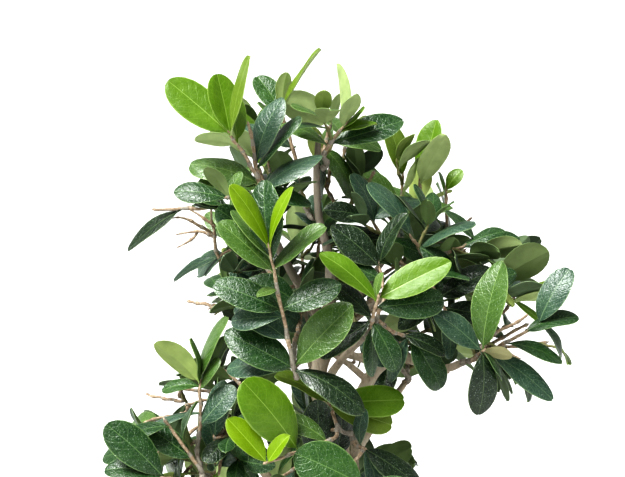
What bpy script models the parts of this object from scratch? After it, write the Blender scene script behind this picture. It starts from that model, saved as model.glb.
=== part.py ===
"""An olive bonsai in a plain planter: pot, soil, trunk, boughs and masses of leafy twigs.

Lengths are in millimetres until a mesh is made. The crown is laid out as it looks from the front:
spot(right, up, back) is the point that shows at (right, up) on the upright plane through the trunk,
seen from EYE, and lies `back` behind that plane, or before it where `back` is negative.
"""
import math
import random
from collections import namedtuple

import bmesh
import bpy
from mathutils import Vector
from mathutils.bvhtree import BVHTree
from mathutils.kdtree import KDTree

MM = 0.001
GAP = 0.3  # clearance between neighbouring solids
EYE = Vector((-3.5, -1094.0, 412.0))  # where the front of the tree is laid out from
FRONT = Vector((0.0, -1.0, 0.0))
UP = Vector((0.0, 0.0, 1.0))

# The pot: a rounded rectangle that widens upwards to a plain lip.
POT_LENGTH = 196.0  # over the lip
POT_WIDTH = 146.0
POT_HEIGHT = 70.0
POT_FOOT_HEIGHT = 5.0
POT_FOOT_INSET = 7.0  # how far the foot stands in from the wall above it
POT_FLARE = 12.0  # how much wider the wall is on each side at the top than at the foot
POT_CORNER = 26.0
POT_WALL = 6.0
POT_FLOOR = 9.0
LIP_HEIGHT = 9.0
LIP_OUT = 3.5
LIP_ROUND = 1.5
LIP_INNER_EDGE = 1.0
FOOT_STEP = 2.0  # the wall's lower edge: how far it stands in, and how high it slants
FOOT_SLANT = 3.0
INNER_CORNER = 3.0
CORNER_STEPS = 6
SOIL_TOP = 61.0
SOIL_EDGE_DROP = 3.0  # the soil falls away a little towards the wall
SOIL_EDGE_BAND = 11.0
SOIL_SHOULDER = (0.4, 0.35)  # a point on that slope: its share of the band and of the drop

# The trunk, from the soil up: right, back, height and radius.
TRUNK = (
    (15.0, 3.0, SOIL_TOP + GAP, 13.0),
    (7.0, 2.0, 80.0, 11.8),
    (-5.0, 2.0, 104.0, 10.4),
    (-9.0, 2.0, 130.0, 9.2),
    (-3.0, 3.0, 157.0, 7.7),
    (7.0, 5.0, 184.0, 6.3),
    (8.0, 6.0, 203.0, 5.3),
    (0.0, 7.0, 222.0, 4.3),
    (0.5, 7.0, 243.0, 3.5),
    (4.0, 5.0, 266.0, 2.8),
    (4.5, 4.0, 286.0, 2.3),
    (-0.5, 3.0, 307.0, 1.9),
    (-1.5, 2.0, 330.0, 1.6),
    (-0.5, 0.0, 346.0, 1.4),
)
TRUNK_SIDES = 12
TRUNK_STEPS = 2  # rings for each stretch between two rows of TRUNK
FLARE_REACH = 5.0  # how far the root flare stands out past the trunk at the soil
FLARE_HEIGHT = 17.0
FLARE_LOBES = 4
FLARE_TURN = 0.6
FLARE_EVEN = 0.7  # the share of the flare that is the same all round
BOUGH_SIDES = 8
BOUGH_STEPS = 6
LIMB_CLEAR = 0.5  # twigs and leaves keep this far from every limb
TRUNK_SEAT = 0.8  # a stem that leaves the trunk begins this far outside it

# Boughs: where each leaves its carrier, the spots it bends through and ends at, and its end radii.
Bough = namedtuple("Bough", "carrier leaves_at via tip radii")
BOUGHS = {
    "bough_right": Bough("trunk", 194.0, ((23, 229, -2), (37, 241, -8), (56, 235, -18)),
                         (67, 238, -25), (3.7, 1.7)),
    "bough_front": Bough("bough_right", 0.36, ((6, 243, -22),), (-11, 238, -58), (2.2, 1.5)),
    "bough_front_right": Bough("trunk", 226.0, ((9, 238, -20),), (21, 250, -45), (2.4, 1.4)),
    "bough_front_left": Bough("trunk", 260.0, ((-15, 284, -16),), (-27, 311, -38), (2.5, 1.6)),
    "bough_right_top": Bough("trunk", 240.0, ((20, 262, 4),), (46, 281, -2), (2.6, 1.5)),
    "bough_left_back": Bough("trunk", 247.0, ((-19, 272, 16),), (-36, 289, 24), (2.3, 1.3)),
    "bough_back_right": Bough("trunk", 232.0, ((16, 266, 26),), (35, 294, 38), (2.5, 1.4)),
    "bough_back": Bough("trunk", 212.0, ((-4, 238, 32),), (-7, 262, 52), (2.7, 1.4)),
    "bough_low_front": Bough("trunk", 150.0, ((15, 172, -28),), (16, 201, -52), (3.0, 1.7)),
    "bough_low_left": Bough("trunk", 138.0, ((-30, 158, -14),), (-53, 181, -26), (3.5, 1.7)),
    "bough_low_back_left": Bough("trunk", 162.0, ((-24, 182, 26),), (-42, 204, 42), (3.0, 1.5)),
    "bough_low_back_right": Bough("trunk", 174.0, ((24, 206, 28),), (40, 228, 44), (2.8, 1.5)),
    "bough_low_back": Bough("trunk", 146.0, ((4, 162, 28),), (2, 186, 48), (2.8, 1.5)),
}

# Leaves and twigs.
LEAF_RATIO = 0.43  # width to length
LEAF_THICK = 0.021  # thickness to length, at its middle
LEAF_SUNK = 0.35  # how far its foot lies past the twig's middle
LEAF_BARE = 2.6  # leaves of one twig may meet only this near to their feet
LEAF_OUTLINE = ((0.26, 0.4), (0.72, 0.48))  # along the length, and half the width to the full width
LEAF_MIDDLE = 0.44
LEAF_ARCH = 0.10  # how far a tip bends back, to the leaf's length
TWIG_SIDES = 3
TWIG_ROOT = 1.5
TWIG_SHOOT = 1.05
TWIG_TIP = 0.75
TWIG_STEP = 16.0  # a joint for each such length of a twig
TAPER = 0.9  # a side twig's thickness to that of its carrier
LEAN = 0.3  # how far chance moves a leaf's lean, to its length
LEAN_FIRST = 0.4  # the share of that at the first try, and what each further try adds
LEAN_MORE = 0.1
FOOT_PLAY = 0.2
SPACE_MARGIN = 0.9  # a leaf lies this much nearer to its own mass than to any other
STEM_SEAT = 3.0  # how far a mass's stem runs straight on from what carries it
SWAY = 9.0  # how far a twig may swing to pass round a limb
TRIES = 14

# A leaf of a named shoot: place along the shoot, the hour hand's angle from the front, its length as
# it shows, how far it turns its upper face to the front (1 fully, -1 shows its underside), its ratio,
# and how far it leans to the back, to its length (to the front where that is negative).
Leaf = namedtuple("Leaf", "along clock length show ratio lean", defaults=(LEAF_RATIO, 0.0))
Shoot = namedtuple("Shoot", "start tip leaves")
# middle and reach (right, up, back) are those of the mass, and count is how many shoots the seeded
# rule adds to the named ones.
Mass = namedtuple("Mass", "carrier seed middle reach count shoots")


def leaves(*rows):
    return tuple(Leaf(*row) for row in rows)


MASSES = {
    "leaves_front": Mass("bough_front", 11, (-14, 262, -36), (20, 24, 12), 2, (
        Shoot((-12, 235, -66), (-24, 293, -82), leaves(
            (0.0, -60, 37, 0.9, 0.46), (0.02, 40, 40, 0.9), (0.0, 116, 37, 0.75, 0.38, -0.3),
            (0.04, -92, 33, 0.6, 0.43, 0.3), (0.24, -57, 30, 0.8, 0.43, 0.35), (0.48, -66, 35, 0.85, 0.4),
            (0.5, 64, 30, 0.85, 0.46), (0.44, -95, 25, 0.7, 0.43, 0.5), (0.66, -100, 10, 0.5, 0.6, -0.4),
            (0.8, -44, 35, 0.7), (0.82, 44, 32, 0.35), (0.86, 3, 36, 0.9, 0.42, 0.4),
            (0.9, -9, 30, 0.5, 0.38, 0.1), (1.0, -26, 34, 0.6, 0.34, -0.15),
            (1.0, 22, 31, 0.35, 0.3, -0.15))),
    )),
    "leaves_front_right": Mass("bough_front_right", 12, (32, 272, -30), (20, 18, 14), 2, (
        Shoot((24, 254, -58), (27, 269, -66), leaves(
            (0.1, 175, 24, 0.75, 0.45), (0.25, 150, 25, 0.85, 0.44, -0.3), (0.3, -121, 31, 0.8, 0.4),
            (0.35, -45, 25, 0.7), (0.7, 82, 33, 0.9), (0.9, -46, 35, 0.6, 0.36), (0.95, 60, 39, 0.8, 0.38),
            (1.0, 6, 12, 0.6, 0.5))),
        Shoot((30, 270, -44), (28, 285, -38), leaves(
            (0.9, -47, 30, 0.9, 0.5), (0.5, -62, 26, 0.8), (1.0, 24, 27, 0.6), (0.3, 75, 28, 0.7))),
        Shoot((35, 252, -42), (43, 251, -34), leaves(
            (1.0, 148, 30, 0.9, 0.48), (0.9, 208, 24, 0.6), (0.6, 112, 22, 0.7))),
    )),
    "leaves_front_left": Mass("bough_front_left", 13, (-30, 320, -22), (14, 14, 10), 1, (
        Shoot((-27, 315, -41), (-33, 350, -42), leaves(
            (0.22, -71, 34, 0.75), (0.14, 56, 33, 0.5), (0.16, -84, 30, 0.6), (0.5, 19, 33, 0.85),
            (0.42, 33, 32, 0.2), (0.1, 100, 24, 0.6))),
        Shoot((-35, 336, -48), (-42, 346, -52), leaves(
            (1.0, -48, 39, 0.95), (1.0, -10, 29, 0.9, 0.5, 0.15), (0.97, 8, 38, 0.3, 0.32, -0.2),
            (0.6, -3, 34, 0.6, 0.43, 0.25),
            (0.5, -78, 20, -0.6, 0.5))),
        Shoot((-33, 315, -46), (-43, 316, -52), leaves(
            (1.0, -79, 26, 0.7), (0.95, -46, 18, -0.8), (1.0, 22, 14, 0.8, 0.5))),
    )),
    "leaves_top": Mass("trunk", 14, (8, 338, 22), (24, 16, 12), 3, (
        Shoot((2, 338, -6), (12, 351, -9), leaves(
            (1.0, -2, 28, -0.5), (0.9, 12, 18, -0.8, 0.5, -0.6), (0.3, 70, 36, 0.85, 0.4), (0.8, 40, 15, 0.2),
            (0.7, 72, 18, 0.5), (0.2, -60, 24, 0.4))),
        Shoot((2, 338, 8), (5, 352, 14), leaves(
            (1.0, -67, 25, -0.9, 0.62), (0.9, 12, 15, -0.6), (0.4, 96, 26, 0.6),
            (0.1, 146, 27, 0.7, 0.43, 0.3), (0.05, 190, 24, 0.6, 0.43, 0.3))),
    )),
    "leaves_top_left": Mass("trunk", 15, (-24, 332, 24), (18, 18, 14), 3, (
        Shoot((-11, 332, 2), (-18, 357, 4), leaves(
            (1.0, 26, 34, 0.2, 0.2), (1.0, 3, 18, -0.8), (0.85, -23, 25, 0.85), (0.5, -28, 22, 0.3),
            (0.3, -62, 25, 0.6))),
    )),
    "leaves_back_right": Mass("bough_back_right", 16, (50, 302, 58), (28, 20, 20), 4, (
        Shoot((37, 303, 38), (39, 326, 40), leaves(
            (1.0, -12, 27, 0.7), (0.6, 17, 20, -0.5), (0.5, -51, 27, 0.6), (0.3, 80, 24, 0.5))),
        Shoot((46, 308, 42), (47, 325, 44), leaves(
            (1.0, 12, 29, 0.8), (0.9, 22, 27, -0.95), (0.3, -70, 26, 0.6))),
        Shoot((59, 298, 42), (59, 320, 45), leaves(
            (1.0, 34, 12, 0.8, 0.6), (0.8, -8, 13, 0.3), (0.05, -60, 26, 0.6))),
    )),
    "leaves_right_top": Mass("bough_right_top", 17, (72, 284, 30), (26, 16, 18), 3, (
        Shoot((50, 287, -8), (43, 298, -16), leaves(
            (1.0, -35, 32, 0.6), (0.6, 128, 22, 0.9), (0.45, 75, 29, 0.3), (0.7, -29, 23, 0.5))),
        Shoot((64, 292, 10), (77, 298, 14), leaves(
            (0.2, 66, 22, 0.5), (1.0, 60, 18, 0.45), (1.0, 94, 27, 0.5), (0.7, -40, 20, 0.5))),
        Shoot((72, 274, -4), (82, 277, -2), leaves(
            (0.6, -82, 30, 0.9, 0.5), (0.9, -70, 22, -0.8, 0.43, 0.6), (1.0, 58, 29, -0.85, 0.6), (0.8, 130, 16, -0.5))),
        Shoot((86, 262, 2), (91, 268, 4), leaves(
            (1.0, 62, 27, 0.5, 0.3), (0.8, 76, 22, -0.6, 0.3), (1.0, 106, 20, 0.5, 0.25))),
        Shoot((52, 276, -6), (60, 262, -6), leaves(
            (0.5, 60, 28, 0.8, 0.5), (0.85, 100, 28, 0.8), (0.9, 170, 24, 0.7), (0.6, -120, 24, 0.7))),
        Shoot((40, 284, 2), (24, 306, -2), leaves(
            (0.9, -20, 26, 0.7), (1.0, 40, 26, 0.7), (0.6, 110, 24, 0.8), (0.6, -80, 26, 0.7),
            (1.0, -74, 22, 0.8, 0.43, -0.3))),
    )),
    "leaves_right": Mass("bough_right", 18, (90, 250, 0), (20, 14, 20), 6, (
        Shoot((71, 239, -30), (77, 244, -37), leaves(
            (1.0, 9, 43, 0.85, 0.38), (0.9, -48, 29, 0.85), (0.95, 180, 31, 0.9), (0.8, 95, 15, -0.8),
            (0.95, 141, 17, 0.3))),
        Shoot((76, 241, -30), (106, 258, -24), leaves(
            (0.12, 122, 38, 0.6, 0.32), (0.4, 105, 28, 0.55, 0.34), (0.9, 26, 30, 0.8), (0.7, 70, 26, 0.5),
            (0.95, 150, 20, 0.5))),
    )),
    "leaves_low_left": Mass("bough_low_left", 26, (-66, 190, -4), (26, 22, 22), 4, (
        Shoot((-57, 208, -20), (-57, 229, -20), leaves(
            (1.0, -45, 28, -0.9, 0.46), (0.8, 27, 18, 0.5), (1.0, 17, 33, 0.35), (0.95, -5, 22, 0.3),
            (0.9, -94, 18, 0.5), (0.3, -106, 30, 0.35, 0.26), (0.0, 38, 25, 0.8, 0.48))),
        Shoot((-57, 187, -28), (-73, 210, -30), leaves(
            (0.2, -53, 29, 0.9), (0.5, 12, 22, 0.25), (0.9, -100, 24, 0.4))),
        Shoot((-59, 181, -34), (-74, 183, -42), leaves(
            (1.0, -44, 37, 0.9, 0.44), (0.9, -79, 30, 0.7), (1.0, -130, 28, 0.7), (0.7, 168, 26, 0.7))),
        Shoot((-50, 185, -8), (-50, 202, -5), leaves(
            (1.0, 6, 28, 0.8), (0.3, -6, 24, 0.8), (0.2, 70, 26, 0.6))),
    )),
    "leaves_low_front": Mass("bough_low_front", 31, (2, 178, -48), (34, 14, 18), 4, (
        Shoot((9, 207, -56), (4, 219, -50), leaves(
            (1.0, 87, 37, 0.85, 0.4, 0.1), (0.9, 106, 32, 0.85, 0.44), (1.0, -59, 28, 0.6, 0.43, 0.2))),
        Shoot((5, 201, -62), (-25, 190, -76), leaves(
            (0.5, -35, 42, 0.95, 0.5, -0.25), (0.05, -60, 24, 0.7), (1.0, -38, 28, 0.75, 0.44),
            (1.0, 32, 17, 0.6, 0.5), (0.3, 150, 28, 0.7))),
        Shoot((17, 199, -56), (21, 197, -60), leaves(
            (1.0, 123, 36, 0.8, 0.4), (0.6, 2, 18, 0.7), (0.9, 160, 26, 0.7))),
        Shoot((13, 184, -66), (21, 179, -76), leaves(
            (1.0, -62, 36, 0.9, 0.6), (0.8, 150, 28, 0.7), (1.0, 98, 28, 0.7), (0.7, -140, 24, 0.6))),
    )),
    "leaves_left_back": Mass("bough_left_back", 21, (-56, 280, 44), (24, 24, 22), 10, (
        Shoot((-34, 311, 6), (-77, 311, 6), leaves(
            (0.72, -123, 32, 0.6, 0.34), (0.35, 150, 24, 0.5), (0.2, 20, 22, 0.4))),
        Shoot((-38, 294, 20), (-46, 289, 20), leaves(
            (0.5, -129, 17, 0.3, 0.3), (1.0, -113, 26, 0.5, 0.28), (0.75, -127, 20, 0.8, 0.4, 0.3),
            (0.8, 138, 28, 0.9), (0.5, 100, 26, 0.6))),
    )),
    "leaves_back": Mass("bough_back", 22, (-12, 282, 76), (40, 34, 26), 10, ()),
    "leaves_low_back_right": Mass("bough_low_back_right", 23, (40, 246, 62), (28, 22, 28), 8, ()),
    "leaves_low_back_left": Mass("bough_low_back_left", 24, (-56, 216, 54), (34, 28, 30), 12, ()),
    "leaves_low_back": Mass("bough_low_back", 25, (2, 198, 66), (36, 22, 26), 7, ()),
}
# Where a mass meets the trunk and not a bough: the height there, and the side it leaves to.
TRUNK_STEMS = {
    "leaves_top": (331.0, Vector((0.8, -0.3, 0.7))),
    "leaves_top_left": (304.0, Vector((-0.8, 0.1, 0.7))),
}
# The crown's outline from the front: leaves that the rule adds stay inside these rounds.
OUTLINE = (
    (-20, 325, 50), (18, 305, 52), (48, 290, 40), (84, 270, 34), (-40, 278, 31),
    (92, 252, 33), (46, 250, 25), (0, 232, 50), (-58, 222, 24), (-70, 182, 40), (-4, 185, 52),
)

# Gaps in the crown, seen from the front: no leaf that the rule adds shows in these rounds.
SKY = (
    (-60, 298, 11), (-66, 270, 13), (-54, 256, 8), (-61, 221, 9), (12, 245, 8), (42, 227, 8),
    (23, 208, 9), (99, 245, 10), (69, 310, 8), (41, 326, 5), (-80, 226, 8), (17, 236, 8), (37, 204, 8),
    (61, 228, 8), (-70, 222, 8), (-76, 215, 7), (-58, 207, 6),
)
SKY_SHARES = (0.3, 0.65, 1.0)  # the places along a leaf that are held against them

RULE_LEAF = (26.0, 35.0)  # lengths of the leaves that the rule adds
RULE_SHOOT = (17.0, 25.0)  # lengths of its shoots
RULE_PAIRS = 4
RULE_FIRST_PAIR = 0.35  # where the oldest pair stands, in pairs from the shoot's foot
RULE_TRIES = 40
RULE_TURN = 0.3  # chance in a leaf's angle round its shoot
RULE_SPREAD = 0.15  # chance in the angle between a leaf and its shoot
RULE_RATIO = (0.85, 1.1)  # chance in a leaf's width
RULE_YOUNG = 0.25  # how much shorter leaves get towards the shoot's tip
RULE_YOUNG_FROM = 0.6
LEAF_LIFT = 0.12  # how far leaves lift towards the sky
FACE_ALONG = 0.6  # a leaf's upper face turns along its shoot, out of the crown and to the sky
FACE_OUT = 0.5
FACE_UP = 0.7
TIP_TURN = 0.5  # chance in where a shoot ends, round the mass and between its middle and outside
TIP_DEPTH = (0.6, 1.0)
SHOOT_SPREAD = 0.5  # a shoot heads out of the crown, away from its mass's middle and to the sky
SHOOT_LIFT = 0.35
SPREAD_OLD = math.radians(78)  # angle between a shoot and its oldest leaves
SPREAD_YOUNG = math.radians(32)
GOLDEN = math.pi * (3.0 - math.sqrt(5.0))
CROWN_MIDDLE = Vector((0.0, 0.0, 262.0))

COLOURS = {
    "pot": ((0.085, 0.082, 0.078), 0.55),
    "soil": ((0.075, 0.052, 0.036), 0.95),
    "trunk": ((0.42, 0.36, 0.28), 0.85),
    "bough": ((0.36, 0.31, 0.25), 0.85),
    "leaves": ((0.06, 0.16, 0.05), 0.42),
}

Body = namedtuple("Body", "points faces")
Blade = namedtuple("Blade", "foot axis face length width")


def spot(right, up, back):
    on_plane = Vector((right, 0.0, up))
    return EYE + (on_plane - EYE) * (1.0 - back / EYE.y)


def curve_through(points, steps):
    """Points along a smooth curve through the given ones, `steps` to each stretch."""
    rows = [points[0] * 2.0 - points[1], *points, points[-1] * 2.0 - points[-2]]
    path = []
    for a, b, c, d in zip(rows, rows[1:], rows[2:], rows[3:]):
        for step in range(steps):
            t = step / steps
            path.append(0.5 * (2 * b + (c - a) * t + (2 * a - 5 * b + 4 * c - d) * t * t
                               + (3 * b - a - 3 * c + d) * t ** 3))
    path.append(points[-1].copy())
    return path


def heading(path, i):
    return (path[min(i + 1, len(path) - 1)] - path[max(i - 1, 0)]).normalized()


def across(direction, hint=UP):
    """Two unit vectors square to a direction and to each other."""
    side = direction.cross(hint)
    if side.length < 0.2:
        side = direction.cross(FRONT)
    side.normalize()
    return side, side.cross(direction)


def tube(path, radii, sides, flat_foot=False, swell=None):
    """A closed limb round a path. swell(i, angle) adds to the radius at a ring."""
    side, other = across(heading(path, 0))
    points = []
    for i, centre in enumerate(path):
        along = UP if flat_foot and i == 0 else heading(path, i)
        side = (side - along * side.dot(along)).normalized()
        other = along.cross(side)
        for j in range(sides):
            angle = math.tau * j / sides
            radius = radii[i] + (swell(i, angle) if swell else 0.0)
            points.append(centre + (side * math.cos(angle) + other * math.sin(angle)) * radius)
    faces = []
    for i in range(len(path) - 1):
        for j in range(sides):
            a = i * sides + j
            b = i * sides + (j + 1) % sides
            faces.append((a, b, b + sides, a + sides))
    faces.append(tuple(reversed(range(sides))))
    faces.append(tuple(range(len(points) - sides, len(points))))
    return Body(points, faces)


def tree_of(body):
    return BVHTree.FromPolygons(body.points, body.faces)


# ---------------------------------------------------------------- limbs

def trunk_path():
    rows = [Vector((right, back, height)) for right, back, height, _ in TRUNK]
    path = curve_through(rows, TRUNK_STEPS)
    radii = []
    for (*_, low), (*_, high) in zip(TRUNK, TRUNK[1:]):
        radii += [low + (high - low) * step / TRUNK_STEPS for step in range(TRUNK_STEPS)]
    return path, radii + [TRUNK[-1][3]]


def root_flare(path):
    def swell(i, angle):
        height = (path[i].z - path[0].z) / FLARE_HEIGHT
        lobes = FLARE_EVEN + (1.0 - FLARE_EVEN) * math.cos(FLARE_LOBES * angle + FLARE_TURN)
        return FLARE_REACH * lobes * max(0.0, 1.0 - height) ** 2
    return swell


def trunk_body(extra=0.0):
    path, radii = trunk_path()
    return tube(path, [radius + extra for radius in radii], TRUNK_SIDES, True, root_flare(path))


def bough_path(name):
    bough = BOUGHS[name]
    if bough.carrier == "trunk":
        path, _ = trunk_path()
        root = min(path, key=lambda point: abs(point.z - bough.leaves_at))
    else:
        path, _ = bough_path(bough.carrier)
        root = path[round(bough.leaves_at * (len(path) - 1))]
    points = [root] + [spot(*via) for via in bough.via] + [spot(*bough.tip)]
    steps = max(2, BOUGH_STEPS // (len(points) - 1))
    path = curve_through(points, steps)
    thick, thin = bough.radii
    return path, [thick + (thin - thick) * i / (len(path) - 1) for i in range(len(path))]


def bough_body(name, extra=0.0):
    path, radii = bough_path(name)
    return tube(path, [radius + extra for radius in radii], BOUGH_SIDES)


def stem_start(name):
    """Where a mass's stem begins, its heading, and its radius, clear of what carries it."""
    mass = MASSES[name]
    if mass.carrier == "trunk":
        height, side = TRUNK_STEMS[name]
        path, radii = trunk_path()
        i = min(range(len(path)), key=lambda k: abs(path[k].z - height))
        out = Vector((side.x, side.y, 0.0)).normalized()
        return path[i] + out * (radii[i] + TRUNK_SEAT), side.normalized(), TWIG_ROOT
    path, radii = bough_path(mass.carrier)
    along = heading(path, len(path) - 1)
    return path[-1] + along * GAP, along, min(TWIG_ROOT, radii[-1])


# ---------------------------------------------------------------- twigs and leaves

def bend(start, leave, end, arrive, steps, sway):
    """A smooth path from start to end that leaves and arrives in the given directions."""
    reach = (end - start).length / 3.0
    b = start + leave * reach + sway
    c = end - arrive * reach + sway
    path = []
    for step in range(steps + 1):
        t = step / steps
        s = 1.0 - t
        path.append(start * s ** 3 + b * 3 * s * s * t + c * 3 * s * t * t + end * t ** 3)
    return path


def blade_body(blade, bare=-LEAF_SUNK):
    """A thin blade on a six-sided outline, from `bare` past its foot to its tip."""
    side = blade.axis.cross(blade.face)

    def at(along, out, lift=0.0):
        arch = -LEAF_ARCH * along * along
        return (blade.foot + blade.axis * (along * blade.length)
                + side * (out * blade.width) + blade.face * (arch * blade.length + lift))

    ring = [at(bare / blade.length, 0.0)]
    ring += [at(along, out) for along, out in LEAF_OUTLINE]
    ring.append(at(1.0, 0.0))
    ring += [at(along, -out) for along, out in reversed(LEAF_OUTLINE)]
    count = len(ring)
    half = LEAF_THICK * blade.length / 2.0
    points = ring + [at(LEAF_MIDDLE, 0.0, half), at(LEAF_MIDDLE, 0.0, -half)]
    faces = []
    for i in range(count):
        j = (i + 1) % count
        faces.append((i, j, count))
        faces.append((j, i, count + 1))
    return Body(points, faces)


def named_blade(shoot_path, leaf, rng, attempt):
    """The blade of a leaf whose heading and face are given as they look from the front.

    Its lean is varied by chance, more widely with each attempt to find it room.
    """
    place = leaf.along * (len(shoot_path) - 1)
    i = min(int(place), len(shoot_path) - 2)
    foot = shoot_path[i].lerp(shoot_path[i + 1], place - i)
    foot = foot + Vector([rng.uniform(-FOOT_PLAY, FOOT_PLAY) for _ in range(3)])
    angle = math.radians(leaf.clock)
    lean = leaf.lean + rng.uniform(-LEAN, LEAN) * (LEAN_FIRST + LEAN_MORE * attempt)
    axis = Vector((math.sin(angle), lean, math.cos(angle))) * leaf.length * (1.0 - foot.y / EYE.y)
    length = axis.length
    axis.normalize()
    to_front = (FRONT - axis * FRONT.dot(axis)).normalized()
    turned = axis.cross(to_front)
    if turned.z < 0.0:
        turned.negate()
    face = to_front * leaf.show + turned * math.sqrt(1.0 - leaf.show ** 2)
    return Blade(foot, axis, face.normalized(), length, length * leaf.ratio)


def rule_blades(path, rng):
    """Leaves in opposite pairs, each pair square to the last, opening wider with age."""
    along = heading(path, len(path) - 1)
    side, other = across(along)
    turn = rng.uniform(0.0, math.tau)
    blades = []
    for pair in range(RULE_PAIRS):
        t = (pair + RULE_FIRST_PAIR) / (RULE_PAIRS - 1 + RULE_FIRST_PAIR)
        foot = path[-2].lerp(path[-1], min(t, 1.0))
        spread = SPREAD_OLD + (SPREAD_YOUNG - SPREAD_OLD) * t
        for half in (0.0, math.pi):
            angle = turn + half + pair * math.pi / 2.0 + rng.uniform(-RULE_TURN, RULE_TURN)
            out = side * math.cos(angle) + other * math.sin(angle)
            opened = spread + rng.uniform(-RULE_SPREAD, RULE_SPREAD)
            axis = along * math.cos(opened) + out * math.sin(opened) + UP * LEAF_LIFT
            axis.normalize()
            outward = (foot - CROWN_MIDDLE).normalized()
            light = along * FACE_ALONG + outward * FACE_OUT + UP * FACE_UP
            face = (light - axis * light.dot(axis)).normalized()
            length = rng.uniform(*RULE_LEAF) * (1.0 - RULE_YOUNG * max(0.0, t - RULE_YOUNG_FROM))
            width = length * LEAF_RATIO * rng.uniform(*RULE_RATIO)
            blades.append(Blade(foot, axis, face, length, width))
    return blades


class Growth:
    """The twigs and leaves of every mass, each mass kept to its own space."""

    def __init__(self):
        self.limbs = [tree_of(trunk_body(LIMB_CLEAR))]
        self.limbs += [tree_of(bough_body(name, LIMB_CLEAR)) for name in BOUGHS]
        self.twigs = {name: [] for name in MASSES}  # (path, radii)
        self.named_twigs = {name: [] for name in MASSES}  # twig number and shoot
        self.blades = {name: [] for name in MASSES}
        self.placed = []  # (mass and twig number or None, middle, reach, tree) of each twig and leaf
        self.space = {name: self.own_space(name) for name in MASSES}

    def own_space(self, name):
        mass = MASSES[name]
        points = []
        for i, size in enumerate(mass.reach):
            for sign in (-0.5, 0.0, 0.5):
                offset = [0.0, 0.0, 0.0]
                offset[i] = sign * size
                points.append(spot(*(m + o for m, o in zip(mass.middle, offset))))
        for shoot in mass.shoots:
            start = spot(*shoot.start)
            tip = spot(*shoot.tip)
            points += [start, start.lerp(tip, 0.5), tip]
            for leaf in shoot.leaves:
                angle = math.radians(leaf.clock)
                foot = start.lerp(tip, leaf.along)
                reach = Vector((math.sin(angle), leaf.lean, math.cos(angle))) * leaf.length
                points += [foot + reach * share for share in (0.35, 0.75)]
        tree = KDTree(len(points))
        for i, point in enumerate(points):
            tree.insert(point, i)
        tree.balance()
        return tree

    def owns(self, name, points):
        for point in points:
            own = self.space[name].find(point)[2]
            for other, tree in self.space.items():
                if other != name and tree.find(point)[2] < own + SPACE_MARGIN:
                    return False
        return True

    def is_free(self, body, carriers):
        """Whether a body touches no limb and nothing placed before, but the twigs that may carry it."""
        tree = tree_of(body)
        if any(tree.overlap(limb) for limb in self.limbs):
            return False
        middle, reach = ball_round(body)
        for other, centre, size, placed in self.placed:
            if other in carriers:
                continue
            if (centre - middle).length < size + reach and tree.overlap(placed):
                return False
        return True

    def place(self, body, label):
        middle, reach = ball_round(body)
        self.placed.append((label, middle, reach, tree_of(body)))

    def nearest_joint(self, name, start, arrive):
        """The place on the mass's twigs to branch from: its point, heading and radius."""
        best = None
        for path, radii in self.twigs[name]:
            for i, point in list(enumerate(path))[1:]:
                away = start - point
                back_turn = max(0.0, -heading(path, i).dot(away)) + max(0.0, -arrive.dot(away))
                cost = away.length + back_turn
                if best is None or cost < best[0]:
                    best = (cost, point, heading(path, i), radii[i])
        return best[1:]

    def add_twig(self, name, start, tip, sway):
        """A twig from the nearest joint by way of start to tip, or None where it isn't free."""
        arrive = (tip - start).normalized()
        foot = []
        if self.twigs[name]:
            point, leave, thick = self.nearest_joint(name, start, arrive)
            thick = min(thick * TAPER, TWIG_ROOT)
        else:
            seat, leave, thick = stem_start(name)
            point = seat + leave * STEM_SEAT
            foot = [seat]
        steps = 1 + int((start - point).length / TWIG_STEP)
        path = foot + bend(point, leave, start, arrive, steps, sway) + [tip]
        lengths = [(b - a).length for a, b in zip(path, path[1:])]
        total = sum(lengths)
        radii = [thick]
        for i in range(len(lengths)):
            share = sum(lengths[:i + 1]) / total
            radii.append(max(TWIG_TIP, min(thick, TWIG_SHOOT) + (TWIG_TIP - TWIG_SHOOT) * share))
        skip = len(foot)  # a stem's seat may lie near its carrier
        number = len(self.twigs[name])
        siblings = [(name, other) for other in range(number)]
        if not self.is_free(tube(path[skip:], radii[skip:], TWIG_SIDES), siblings):
            return None
        self.twigs[name].append((path, radii))
        self.place(tube(path, radii, TWIG_SIDES), (name, number))
        return number

    def add_blade(self, name, twig, blade):
        body = blade_body(blade, LEAF_BARE)
        if not (self.owns(name, body.points) and self.is_free(body, [(name, twig)])):
            return False
        self.blades[name].append(blade)
        self.place(body, None)
        return True

    def grow_named_twigs(self, name):
        rng = random.Random(MASSES[name].seed)
        for shoot in MASSES[name].shoots:
            sway = Vector()
            for _ in range(TRIES):
                twig = self.add_twig(name, spot(*shoot.start), spot(*shoot.tip), sway)
                if twig is not None:
                    self.named_twigs[name].append((twig, shoot))
                    break
                sway = Vector([rng.uniform(-SWAY, SWAY) for _ in range(3)])

    def grow_named_leaves(self, name):
        rng = random.Random(MASSES[name].seed)
        for twig, shoot in self.named_twigs[name]:
            path = self.twigs[name][twig][0][-2:]
            for leaf in shoot.leaves:
                for attempt in range(TRIES):
                    if self.add_blade(name, twig, named_blade(path, leaf, rng, attempt)):
                        break

    def grow_by_rule(self, name):
        mass = MASSES[name]
        rng = random.Random(mass.seed * 7)
        for number in range(mass.count):
            for _ in range(RULE_TRIES):
                tip, along = rule_tip(mass, number, rng)
                start = tip - along * rng.uniform(*RULE_SHOOT)
                twig = None
                if self.owns(name, (start, tip)):
                    twig = self.add_twig(name, start, tip, Vector())
                if twig is not None:
                    break
            else:
                continue
            for blade in rule_blades(self.twigs[name][twig][0], rng):
                if in_outline(blade):
                    self.add_blade(name, twig, blade)


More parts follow.
